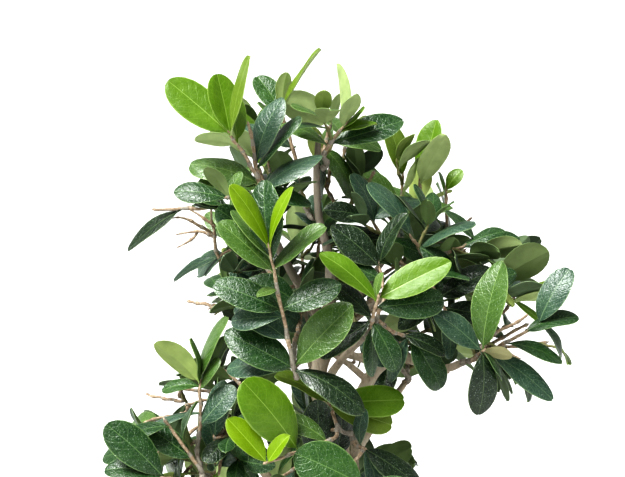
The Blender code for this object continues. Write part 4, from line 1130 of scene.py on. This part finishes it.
def leaf_points(blade, form):
    """Points of one leaf in the order that leaf_faces expects, and their place along and across it."""
    t = (1.0 - np.cos(np.pi * np.arange(LEAF_ROWS) / (LEAF_ROWS - 1))) / 2.0
    open_part = np.clip((t - STALK_LENGTH) / (1.0 - STALK_LENGTH), 0.0, 1.0) * BLUNT
    peak = form.rise / (form.rise + form.fall)
    outline = (open_part / peak) ** form.rise * ((1.0 - open_part) / (1.0 - peak)) ** form.fall
    half = np.maximum(outline * blade.width * WIDTH_SHARE / 2.0, np.where(t < STALK_PART, STALK_WIDTH, 0.0))
    rib = np.minimum(RIB_WIDTH * (1.0 - RIB_TAPER * t) / half, RIB_WIDEST)
    s = np.tile(np.array(LEAF_COLUMNS), (LEAF_ROWS, 1))
    s[:, RIB_COLUMNS[0]] = -rib
    s[:, RIB_COLUMNS[1]] = rib
    t = t[:, None]
    half = half[:, None]
    axis = np.array(blade.axis)
    face = np.array(blade.face)
    side = np.cross(axis, face)
    turn = (form.twist * t)[..., None]
    side_here = side * np.cos(turn) + face * np.sin(turn)
    face_here = face * np.cos(turn) - side * np.sin(turn)
    size = np.abs(s)
    ripple = np.sin(math.tau * (WAVES * t + form.phase + WAVE_SHIFT * (s > 0.0)))
    lift = half * (form.fold * size - form.cup * s * s) + form.wave * blade.length * s * s * ripple
    lift -= np.where(size <= rib[:, None], RIB_DEPTH, 0.0)
    ahead = t - form.notch * (1.0 - size) * t ** NOTCH_POWER
    rise = form.arch * t * (1.0 - t) - LEAF_ARCH * t * t
    middle = (np.array(blade.foot) + axis * (ahead * blade.length)[..., None]
              + face * (rise * blade.length)[..., None]
              + side * (form.sway * blade.length * np.sin(np.pi * t))[..., None])
    upper = middle + side_here * (half * s)[..., None] + face_here * lift[..., None]
    body = 2.0 * LEAF_BODY * (1.0 - EDGE_THIN * size) + np.where(size <= rib[:, None], RIB_RIDGE, 0.0)
    under = upper - face_here * body[..., None]
    left = np.stack([upper[:, 0], under[:, 0]], axis=1)
    right = np.stack([upper[:, -1], under[:, -1]], axis=1)
    tip = np.stack([upper[-1], under[-1]], axis=1)
    foot = np.stack([upper[0], under[0]], axis=1)
    points = np.concatenate([part.reshape(-1, 3) for part in (upper, under, left, right, tip, foot)])
    place = np.stack([s, np.broadcast_to(t, s.shape)], axis=-1).reshape(-1, 2)
    rest = np.zeros((len(points) - 2 * len(place), 2))
    return points, np.concatenate([place, place, rest])


class Room:
    """Remembers the leaves that are laid, so that each new one can stay clear of them."""

    def __init__(self):
        columns = len(LEAF_COLUMNS)
        rows = range(ROOM_FROM_ROW, LEAF_ROWS - 1)
        corners = [side + i * columns + j for side in (0, LEAF_ROWS * columns)
                   for i in rows for j in range(columns - 1)]
        self.faces = [(a, a + 1, a + columns + 1, a + columns) for a in corners]
        self.near_count = 2 * LEAF_ROWS * columns
        self.laid = []

    def surface(self, points):
        """A leaf's tree of faces, with the ball round it."""
        points = points[:self.near_count]
        middle = points.mean(axis=0)
        reach = np.sqrt(((points - middle) ** 2).sum(axis=1).max())
        return BVHTree.FromPolygons(points.tolist(), self.faces), middle, reach

    def crossings(self, surface):
        tree, middle, reach = surface
        return sum(len(tree.overlap(other)) for other, centre, far in self.laid
                   if ((middle - centre) ** 2).sum() < (reach + far) ** 2)

    def lay(self, blade, tint, rng):
        """The points of a leaf in the first form and tilt that are clear, or else in the best."""
        best = None
        for attempt in range(ROOM_TRIES):
            form = leaf_form(tint, rng)
            about = blade.axis.cross(blade.face) + random_vector(rng, -ROOM_STRAY, ROOM_STRAY)
            turn = Quaternion(about, (-1) ** attempt * attempt * ROOM_TILT)
            shape = leaf_points(blade._replace(axis=turn @ blade.axis, face=turn @ blade.face), form)
            surface = self.surface(shape[0])
            count = self.crossings(surface)
            if best is None or count < best[0]:
                best = count, shape, surface
            if count == 0:
                break
        self.laid.append(best[2])
        return best[1]


def foliage_piece(name, blades, finishes, room):
    """All leaves of one mass. Each leaf takes its tint's four finishes."""
    rng = random.Random(MASSES[name].seed * FORM_SEED)
    faces, kinds = leaf_faces()
    used = sorted({tint for _, tint in blades})
    sheets = Sheets()
    for blade, tint in blades:
        points, places = room.lay(blade, tint, rng)
        first = used.index(tint) * len(finishes[tint])
        sheets.add(Body(points, faces), [first + kind for kind in kinds], places)
    made = sheets.piece(name.replace("leaves", "foliage"), [m for tint in used for m in finishes[tint]])
    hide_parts(name)
    return made


# ---------------------------------------------------------------- twigs

def finer(path, radii, steps):
    """The same limb with more rings."""
    points = curve_through(path, steps) if len(path) > 2 else [path[0].lerp(path[1], i / steps)
                                                               for i in range(steps + 1)]
    rings = len(points) - 1
    stretches = len(radii) - 1
    widths = np.interp(np.arange(rings + 1) / rings * stretches, np.arange(stretches + 1), radii)
    return points, [float(width) for width in widths]


def twig_points(path, radii, rng):
    """A crooked twig with swollen joints, ending in a pointed bud."""
    points, widths = finer(path, radii, TWIG_FINE_STEPS)
    steps = len(points) - 1
    widths = [width * (1.0 - TIP_TAPER * (i / steps) ** TIP_POWER) for i, width in enumerate(widths)]
    along = heading(points, len(points) - 1)
    for reach, share in BUD:
        points.append(points[-1] + along * reach)
        widths.append(radii[-1] * share * (1.0 - TIP_TAPER))
    phase = rng.random()
    offset = random_vector(rng, 0.0, NOISE_FIELD)
    shaped = [point + noise.noise_vector(point * CROOK_RATE + offset) * CROOK for point in points]
    shaped[0], shaped[-1] = points[0], points[-1]
    sizes = []
    for width, far in zip(widths, distances(points)):
        near = abs((far / JOINT_EVERY + phase) % 1.0 - 0.5) * JOINT_EVERY
        sizes.append(width * (1.0 + JOINT_SWELL * math.exp(-(near / JOINT_LENGTH) ** 2)))
    return shaped, sizes


def bare(rows):
    """Paths and radii of bare twigs or limbs."""
    paths = [curve_through([spot(*place) for place in spots], BARE_STEPS) for *_, spots in rows]
    return [(path, tapered(path, thick, thin)) for path, (thick, thin, _) in zip(paths, rows)]


def twigs_piece(growth, finishes):
    noise.seed_set(NOISE_SEED)  # without it, noise_vector differs from run to run
    rng = random.Random(TWIG_SEED)
    sheets = Sheets()
    for rows in [growth.twigs[name] for name in MASSES] + [bare(BARE_TWIGS)]:
        for path, radii in rows:
            points, widths = twig_points(path, [radius * TWIG_SHARE for radius in radii], rng)
            body = tube(points, widths, TWIG_FINE_SIDES)
            rings = [min(number // TWIG_FINE_SIDES, len(widths) - 1) for number in range(len(body.faces))]
            kinds = [OLD_KIND if widths[ring] > OLD_TWIG else YOUNG_KIND for ring in rings]
            if (radii[0], radii[-1]) == (FINE_ROOT, FINE_TIP):
                kinds = [GREEN_KIND] * len(rings)
            sheets.add(body, kinds)
    made = sheets.piece("twigs", finishes)
    return made


# ---------------------------------------------------------------- bark

def limb_rings(name=None):
    """A limb's path, radii and swelling, with more rings than its solid has."""
    if not name:
        points, widths = finer(*trunk_path(), TRUNK_FINE_STEPS)
        return points, widths, root_flare(points)
    points, widths = finer(*bough_path(name), BOUGH_FINE_STEPS)
    collars = [math.exp(-((point - points[0]).length / BOUGH_COLLAR_LENGTH) ** 2) for point in points]
    return points, [width * (1.0 + BOUGH_COLLAR * collar) for width, collar in zip(widths, collars)], None


def relief(place, size):
    """How far the bark stands out at a place along and round a limb of that size."""
    crack, second, lumps = [
        noise.noise(Vector((place.x * round_it + shift, place.y * round_it, place.z * along + lift)))
        for round_it, along, shift, lift in (CRACK_NOISE, SECOND_NOISE, LUMP_NOISE)]
    groove = (max(0.0, 1.0 - abs(crack) / CRACK_WIDTH)
              + SECOND_SHARE * max(0.0, 1.0 - abs(second) / SECOND_WIDTH))
    grown = min(1.0, size / BARK_FULL)
    return grown * (LUMPS * lumps - GROOVES * groove) + GRAIN * noise.noise(place * GRAIN_NOISE)


def bark_piece(finish_made):
    """Trunk and boughs grown together in one skin, with the bark's relief."""
    limbs = [limb_rings()] + [limb_rings(name) for name in BOUGHS]
    limbs += [(path, radii, None) for path, radii in bare(BARE_LIMBS)]
    body = Sheets()
    spots = []
    for number, (points, widths, swell) in enumerate(limbs):
        shape = tube(points, widths, LIMB_FINE_SIDES, number == 0, swell)
        body.add(shape)
        spots += [(point, heading(points, i), far, widths[i])
                  for i, (point, far) in enumerate(zip(points, distances(points)))]
    made = body.piece("bark", [finish_made], smooth=False)
    skin = made.modifiers.new("skin", "REMESH")
    skin.mode = "VOXEL"
    skin.voxel_size = BARK_VOXEL * MM
    soften = made.modifiers.new("soften", "SMOOTH")
    soften.iterations = BARK_SOFTEN
    soften.factor = 0.5
    graph = bpy.context.evaluated_depsgraph_get()
    mesh = bpy.data.meshes.new_from_object(made.evaluated_get(graph))
    made.modifiers.clear()
    made.data = mesh
    tree = nearest_tree([point for point, *_ in spots])
    normals = [normal.vector.copy() for normal in mesh.vertex_normals]
    moved = []
    for vertex, normal in zip(mesh.vertices, normals):
        here = vertex.co / MM
        point, along, far, size = spots[tree.find(here)[1]]
        side, other = across(along)
        away = here - point
        place = Vector((away.dot(side), away.dot(other), far + away.dot(along)))
        out = here + normal * relief(place, size)
        out.z = max(out.z, SOIL_TOP + GAP)
        moved.append(tuple(out * MM))
    mesh.vertices.foreach_set("co", np.array(moved).ravel())
    mesh.materials.clear()
    mesh.materials.append(finish_made)
    mesh.shade_smooth()
    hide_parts("trunk", *BOUGHS)
    return made


# ---------------------------------------------------------------- pot and soil

def rounded_ring(half_length, half_width, corner, height):
    """A rounded rectangle, with points along its straight stretches too."""
    ring = []
    for quarter, (right, back) in enumerate(((1, 1), (-1, 1), (-1, -1), (1, -1))):
        middle = Vector((right * (half_length - corner), back * (half_width - corner), height))
        for step in range(CORNER_STEPS_FINE + 1):
            angle = math.pi / 2.0 * (quarter + step / CORNER_STEPS_FINE)
            ring.append(middle + Vector((math.cos(angle), math.sin(angle), 0.0)) * corner)
    filled = []
    for here, after in zip(ring, ring[1:] + ring[:1]):
        filled.append(here)
        if (after - here).length > 2.0 * STRAIGHT_STEP:
            filled += [here.lerp(after, i / STRAIGHT_STEPS) for i in range(1, STRAIGHT_STEPS)]
    return filled


def inset_ring(inset, height):
    corner = max(POT_CORNER - inset, INNER_CORNER)
    return rounded_ring(POT_LENGTH / 2.0 - inset, POT_WIDTH / 2.0 - inset, corner, height)


def wall_inset(height):
    """How far the pot's outer wall stands in from the lip's outline at a height."""
    return LIP_OUT + POT_FLARE * (1.0 - height / POT_HEIGHT)


def softened(profile, radius):
    """The same profile with each corner turned into a short curve."""
    rounded = [profile[0]]
    for before, corner, after in zip(profile, profile[1:], profile[2:]):
        legs = []
        for other in (before, after):
            way = (other[0] - corner[0], other[1] - corner[1])
            length = math.hypot(*way)
            reach = min(radius, length * SOFT_MOST) / length
            legs.append((corner[0] + way[0] * reach, corner[1] + way[1] * reach))
        for step in range(SOFT_STEPS + 1):
            t = step / SOFT_STEPS
            rounded.append(tuple(a * (1 - t) ** 2 + 2 * c * t * (1 - t) + b * t * t
                                 for a, c, b in zip(legs[0], corner, legs[1])))
    return rounded + [profile[-1]]


def pot_body():
    lip_foot = POT_HEIGHT - LIP_HEIGHT
    profile = [
        (wall_inset(0.0) + POT_FOOT_INSET + POT_WALL, 0.0),
        (wall_inset(0.0) + POT_FOOT_INSET, 0.0),
        (wall_inset(0.0) + POT_FOOT_INSET, POT_FOOT_HEIGHT),
        (wall_inset(POT_FOOT_HEIGHT) + FOOT_STEP, POT_FOOT_HEIGHT),
        (wall_inset(POT_FOOT_HEIGHT + FOOT_SLANT), POT_FOOT_HEIGHT + FOOT_SLANT),
        (wall_inset(lip_foot - LIP_ROUND), lip_foot - LIP_ROUND),
        (LIP_ROUND / 2.0, lip_foot),
        (0.0, lip_foot + LIP_ROUND),
        (0.0, POT_HEIGHT - LIP_ROUND),
        (LIP_ROUND, POT_HEIGHT),
        (LIP_OUT + POT_WALL - LIP_INNER_EDGE, POT_HEIGHT),
        (LIP_OUT + POT_WALL, POT_HEIGHT - LIP_INNER_EDGE),
        (wall_inset(POT_FLOOR) + POT_WALL, POT_FLOOR),
        (wall_inset(POT_FLOOR) + 2.0 * POT_WALL, POT_FLOOR),
    ]
    rings = [inset_ring(*row) for row in softened(profile, POT_SOFT)]
    return ringed(sum(rings, []), len(rings[0]))


def simple_piece(name, body, finish_made, node):
    sheets = Sheets()
    sheets.add(body)
    made = sheets.piece(name, [finish_made])
    made.data.set_sharp_from_angle(angle=SHARP)
    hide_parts(node)
    return made


def soil_height(x, y):
    """The soil's surface, falling away a little towards the wall, with small unevenness."""
    edge = min(POT_LENGTH / 2.0 - SOIL_INSET - abs(x), POT_WIDTH / 2.0 - SOIL_INSET - abs(y))
    slope = min(1.0, max(0.0, 1.0 - edge / SOIL_EDGE_BAND))
    rough = noise.noise(Vector((x, y, 0.0)) * SOIL_LUMP) * SOIL_ROUGH
    return SOIL_TOP - SOIL_SINK - (SOIL_EDGE_DROP - SOIL_SINK) * slope ** SOIL_BEND + rough * (1.0 - slope)


def soil_body():
    """The body of soil: down to the pot's floor, and its top in rings drawn in to its middle."""
    low = POT_FLOOR + GAP
    edge = inset_ring(SOIL_INSET, SOIL_TOP)
    rings = [inset_ring(wall_inset(low) + POT_WALL + GAP, low)]
    for i in range(SOIL_RINGS):
        share = 1.0 - i / SOIL_RINGS
        rings.append([Vector((p.x * share, p.y * share, soil_height(p.x * share, p.y * share)))
                      for p in edge])
    return ringed(sum(rings, []), len(edge))


def unit_ball():
    """A ball of eighty faces, as arrays."""
    work = bmesh.new()
    bmesh.ops.create_icosphere(work, subdivisions=2, radius=1.0)
    points = np.array([tuple(corner.co) for corner in work.verts])
    faces = [[corner.index for corner in face.verts] for face in work.faces]
    work.free()
    return Body(points, faces)


def granules_piece(finishes):
    """Loose granules that cover the soil, up to the trunk's foot."""
    rng = random.Random(GRANULE_SEED)
    ball = unit_ball()
    foot = trunk_path()[0][0]
    edge = SOIL_INSET + GRANULE_EDGE
    depth, closeness = GRANULE_DENTS
    sheets = Sheets()
    for _ in range(GRANULES):
        x = rng.uniform(-1.0, 1.0) * (POT_LENGTH / 2.0 - edge)
        y = rng.uniform(-1.0, 1.0) * (POT_WIDTH / 2.0 - edge)
        out_x = max(0.0, abs(x) - (POT_LENGTH / 2.0 - POT_CORNER))
        out_y = max(0.0, abs(y) - (POT_WIDTH / 2.0 - POT_CORNER))
        if math.hypot(out_x, out_y) > POT_CORNER - edge or math.hypot(x - foot.x, y - foot.y) < FLARE_CLEAR:
            continue
        size = rng.uniform(*GRANULE)
        stretch = np.array([rng.uniform(*GRANULE_STRETCH) for _ in range(3)])
        place = random_vector(rng, 0.0, GRANULE_FIELD)
        dents = [1.0 + depth * noise.noise(Vector(point) * closeness + place) for point in ball.points]
        points = ball.points * np.array(dents)[:, None] * stretch * size
        points += np.array((x, y, soil_height(x, y) + size * GRANULE_SEAT))
        kind = rng.choices(range(len(finishes)), GRANULE_SHARES)[0]
        sheets.add(Body(points, ball.faces), [kind] * len(ball.faces))
    made = sheets.piece("granules", finishes)
    return made


# ---------------------------------------------------------------- materials

def linear(colour):
    """A 0 to 255 display colour as the linear one that a shader takes."""
    shares = [level / 255.0 for level in colour]
    return tuple(c / 12.92 if c <= 0.04045 else ((c + 0.055) / 1.055) ** 2.4 for c in shares)


def towards(colour, other, share):
    return tuple(a + (b - a) * share for a, b in zip(colour, other))


class Finish:
    """A Principled material and short ways to wire patterns into it."""

    def __init__(self, name, colour, roughness, specular, patches=(), relief=None):
        self.made = bpy.data.materials.new(name)
        self.made.use_nodes = True
        self.nodes = self.made.node_tree.nodes
        self.links = self.made.node_tree.links
        self.shader = self.nodes["Principled BSDF"]
        self.shader.inputs["Base Color"].default_value = (*linear(colour), 1.0)
        self.shader.inputs["Roughness"].default_value = roughness
        self.shader.inputs["Specular IOR Level"].default_value = specular
        self.made.diffuse_color = (*linear(colour), 1.0)
        for patch in patches:
            self.patch(patch)
        if relief:
            self.rough(relief)

    def node(self, kind, source=None, into="Vector", **values):
        """A new node, its inputs and settings given by name, with `source` linked into one of them."""
        made = self.nodes.new(kind)
        for key, value in values.items():
            if key in made.inputs:
                made.inputs[key].default_value = value
            else:
                setattr(made, key, value)
        if source:
            self.links.new(source, made.inputs[into])
        return made

    def spots(self, stretch=EVEN):
        """Object coordinates in millimetres, stretched."""
        place = self.node("ShaderNodeTexCoord").outputs["Object"]
        scale = tuple(share / MM for share in stretch)
        return self.node("ShaderNodeMapping", place, Scale=scale).outputs["Vector"]

    def noise(self, size, detail=2.0, stretch=EVEN):
        """Noise whose lumps are about `size` millimetres across."""
        spots = self.spots(stretch)
        return self.node("ShaderNodeTexNoise", spots, Scale=1.0 / size, Detail=detail).outputs["Fac"]

    def net(self, size, width):
        """1 on a net of fine veins with meshes of `size` millimetres."""
        cells = self.node("ShaderNodeTexVoronoi", self.spots(), feature="DISTANCE_TO_EDGE", Scale=1.0 / size)
        return self.ramp(cells.outputs["Distance"], width, 0.0)

    def ramp(self, value, low, high, side="From"):
        """Stretches a pattern so that `low` to `high` becomes 0 to 1, or with "To" the other way."""
        ends = {f"{side} Min": low, f"{side} Max": high}
        return self.node("ShaderNodeMapRange", value, "Value", **ends).outputs["Result"]

    def combined(self, operation, first, second=0.0):
        made = self.node("ShaderNodeMath", operation=operation)
        for socket, value in zip(made.inputs, (first, second)):
            if isinstance(value, float):
                socket.default_value = value
            else:
                self.links.new(value, socket)
        return made.outputs[0]

    def fade(self, pattern, other, share=1.0):
        """Fades the base colour to another by a pattern of 0 to 1."""
        mix = self.node("ShaderNodeMix", data_type="RGBA")
        first, second = [socket for socket in mix.inputs if socket.type == "RGBA"]
        base = self.shader.inputs["Base Color"]
        if base.links:
            self.links.new(base.links[0].from_socket, first)
        else:
            first.default_value = base.default_value
        second.default_value = (*linear(other), 1.0)
        self.links.new(self.combined("MULTIPLY", pattern, share), mix.inputs[0])
        self.links.new([socket for socket in mix.outputs if socket.type == "RGBA"][0], base)

    def patch(self, patch, colour=None):
        """Another colour in patches: the patch's own, unless one is given."""
        pattern = self.noise(patch.size, patch.detail, patch.stretch)
        self.fade(self.ramp(pattern, patch.low, patch.high), colour or patch.colour, patch.share)

    def gloss(self, low, high):
        """Roughness between two values, in broad patches."""
        pattern = self.noise(GLOSS_SIZE, GLOSS_DETAIL)
        self.links.new(self.ramp(pattern, low, high, "To"), self.shader.inputs["Roughness"])

    def bump(self, value, depth):
        """Relief of that depth in millimetres. A second one adds to the first."""
        made = self.node("ShaderNodeBump", value, "Height", Distance=depth * MM)
        socket = self.shader.inputs["Normal"]
        if socket.links:
            self.links.new(socket.links[0].from_socket, made.inputs["Normal"])
        self.links.new(made.outputs["Normal"], socket)

    def rough(self, relief):
        self.bump(self.noise(relief.size, relief.detail, relief.stretch), relief.depth)

    def leaf_place(self):
        """How far a point lies across the leaf, from its midrib, and along it."""
        place = self.node("ShaderNodeUVMap", uv_map="place").outputs["UV"]
        parts = self.node("ShaderNodeSeparateXYZ", place)
        return self.combined("ABSOLUTE", parts.outputs["X"]), parts.outputs["Y"]

    def veins(self):
        """1 on the side veins, which curve forward from the midrib, and 0 between them."""
        aside, along = self.leaf_place()
        slant = self.combined("MULTIPLY", self.combined("POWER", aside, VEIN_BOW), VEIN_SLANT)
        place = self.combined("SUBTRACT", self.combined("MULTIPLY", along, VEINS), slant)
        drift = self.combined("MULTIPLY", self.noise(VEIN_DRIFT_SIZE), VEIN_DRIFT)
        place = self.combined("ADD", place, drift)
        return self.ramp(self.combined("PINGPONG", place, 0.5), VEIN_SHARE, 0.0)


def leaf_face(tint, upper):
    look = look_of(tint)
    face = Finish(f"leaf_{tint}_face", upper, LEAF_ROUGH, look.specular)
    face.gloss(*look.gloss)
    # paler patches of uneven tone and painted sheen
    face.patch(LEAF_PALER_AND_SHEEN, towards(upper, PALE, PALE_PATCH))
    veins = face.veins()
    net = face.net(*NET)
    face.fade(veins, towards(upper, PALE, PALE_VEIN), look.vein_share)
    face.fade(net, towards(upper, PALE, PALE_NET), look.net_share)
    if look is FULL_LOOK:
        face.patch(LEAF_SPECKS)
    aside, _ = face.leaf_place()
    face.fade(face.ramp(aside, *EDGE_FROM), towards(upper, PALE, PALE_EDGE), EDGE_SHARE)
    waviness, pores = LEAF_FACE_RELIEFS
    face.rough(waviness)
    face.bump(veins, -look.vein_depth)
    face.bump(net, -look.net_depth)
    face.rough(pores)
    return face


def leaf_finishes():
    """The finishes of each tint: upper face, underside, midrib and edge."""
    finishes = {}
    for tint, (upper, under) in TINTS.items():
        back = Finish(f"leaf_{tint}_back", under, BACK_ROUGH, BACK_SPECULAR)
        back.patch(LEAF_UNDER, towards(under, LEAF_UNDER.colour, LEAF_UNDER_DULL))
        back.rough(LEAF_BACK_RELIEF)
        rib = Finish(f"leaf_{tint}_rib", towards(upper, PALE, look_of(tint).rib), RIB_ROUGH, EVEN_SPECULAR,
                     relief=RIB_RELIEF)
        edge = Finish(f"leaf_{tint}_edge", towards(upper, PALE, PALE_EDGE), EDGE_ROUGH, EVEN_SPECULAR,
                      relief=EDGE_RELIEF)
        finishes[tint] = [side.made for side in (leaf_face(tint, upper), back, rib, edge)]
    return finishes


def finish(name):
    return Finish(name, *SURFACES[name])


def bark_finish():
    bark = finish("bark")
    height = bark.node("ShaderNodeSeparateXYZ", bark.spots()).outputs["Z"]
    bark.fade(bark.ramp(height, *GREY_HEIGHTS), GREY_WOOD, GREY_SHARE)
    return bark.made


def pot_finish():
    pot = finish("stoneware")
    pot.gloss(*STONEWARE_GLOSS)
    return pot.made


def granule_finishes():
    finishes = []
    patch, = GRANULE_LOOK.patches
    for i, colour in enumerate(GRANULE_COLOURS):
        damp = patch._replace(colour=towards(colour, GRANULE_DAMP, GRANULE_DAMP_SHARE))
        look = GRANULE_LOOK._replace(colour=colour, patches=(damp,))
        finishes.append(Finish(f"granule_{i}", *look).made)
    return finishes


# ---------------------------------------------------------------- stage

def lamp(name, place, target, size, power):
    data = bpy.data.lights.new(name, "AREA")
    data.shape = "DISK"
    data.size = size
    data.energy = power
    made = bpy.data.objects.new(name, data)
    made.location = place
    made.rotation_euler = (Vector(target) - Vector(place)).to_track_quat("-Z", "Y").to_euler()
    bpy.context.scene.collection.objects.link(made)


def stage():
    floor = Sheets()
    corners = [Vector((x, y, 0.0)) * FLOOR_REACH for x, y in ((-1, -1), (1, -1), (1, 1), (-1, 1))]
    floor.add(Body(corners, [(0, 1, 2, 3)]))
    paper = finish("paper")
    floor.piece("floor", [paper.made], smooth=False)
    world = bpy.data.worlds.new("studio")
    world.use_nodes = True
    nodes = world.node_tree.nodes
    links = world.node_tree.links
    way = nodes.new("ShaderNodeTexCoord")
    parts = nodes.new("ShaderNodeSeparateXYZ")
    height = nodes.new("ShaderNodeMapRange")
    height.inputs["From Min"].default_value, height.inputs["From Max"].default_value = WORLD_BAND
    height.inputs["To Min"].default_value = WORLD_LOW
    height.inputs["To Max"].default_value = WORLD_HIGH
    links.new(way.outputs["Generated"], parts.inputs["Vector"])
    links.new(parts.outputs["Z"], height.inputs["Value"])
    links.new(height.outputs["Result"], nodes["Background"].inputs["Strength"])
    nodes["Background"].inputs["Color"].default_value = WORLD_COLOUR
    bpy.context.scene.world = world
    for row in LAMPS:
        lamp(*row)
    sun = bpy.data.lights.new("sun", "SUN")
    sun.energy = SUN_LIGHT
    sun.angle = SUN_SPREAD
    sun_object = bpy.data.objects.new("sun", sun)
    sun_object.rotation_euler = SUN_FROM.to_track_quat("Z", "Y").to_euler()
    scene = bpy.context.scene
    scene.collection.objects.link(sun_object)
    scene.view_settings.view_transform = "Standard"
    scene.view_settings.look = "High Contrast"
    data = bpy.data.cameras.new("camera")
    data.sensor_fit = "HORIZONTAL"
    data.angle = 2.0 * math.atan(VIEW_WIDTH / 2.0 / VIEW_FROM)
    data.clip_end = VIEW_END
    camera = bpy.data.objects.new("camera", data)
    camera.location = EYE * MM
    camera.rotation_euler = (VIEW_TO - EYE).to_track_quat("-Z", "Y").to_euler()
    scene.collection.objects.link(camera)
    scene.camera = camera


def main():
    stage()
    growth = Growth()
    for grow in (growth.grow_named_twigs, growth.grow_named_leaves, growth.grow_by_rule,
                 growth.grow_finer):
        for name in MASSES:
            grow(name)
    finishes = leaf_finishes()
    room = Room()
    pieces = [foliage_piece(name, growth.blades[name], finishes, room) for name in MASSES]
    pieces.append(twigs_piece(growth, [finish(name).made for name in TWIG_FINISHES]))
    pieces.append(bark_piece(bark_finish()))
    pieces.append(simple_piece("stoneware_pot", pot_body(), pot_finish(), "pot"))
    pieces.append(simple_piece("soil_bed", soil_body(), finish("soil_bed").made, "soil"))
    pieces.append(granules_piece(granule_finishes()))
    for piece in pieces:
        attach(piece, "root")


main()
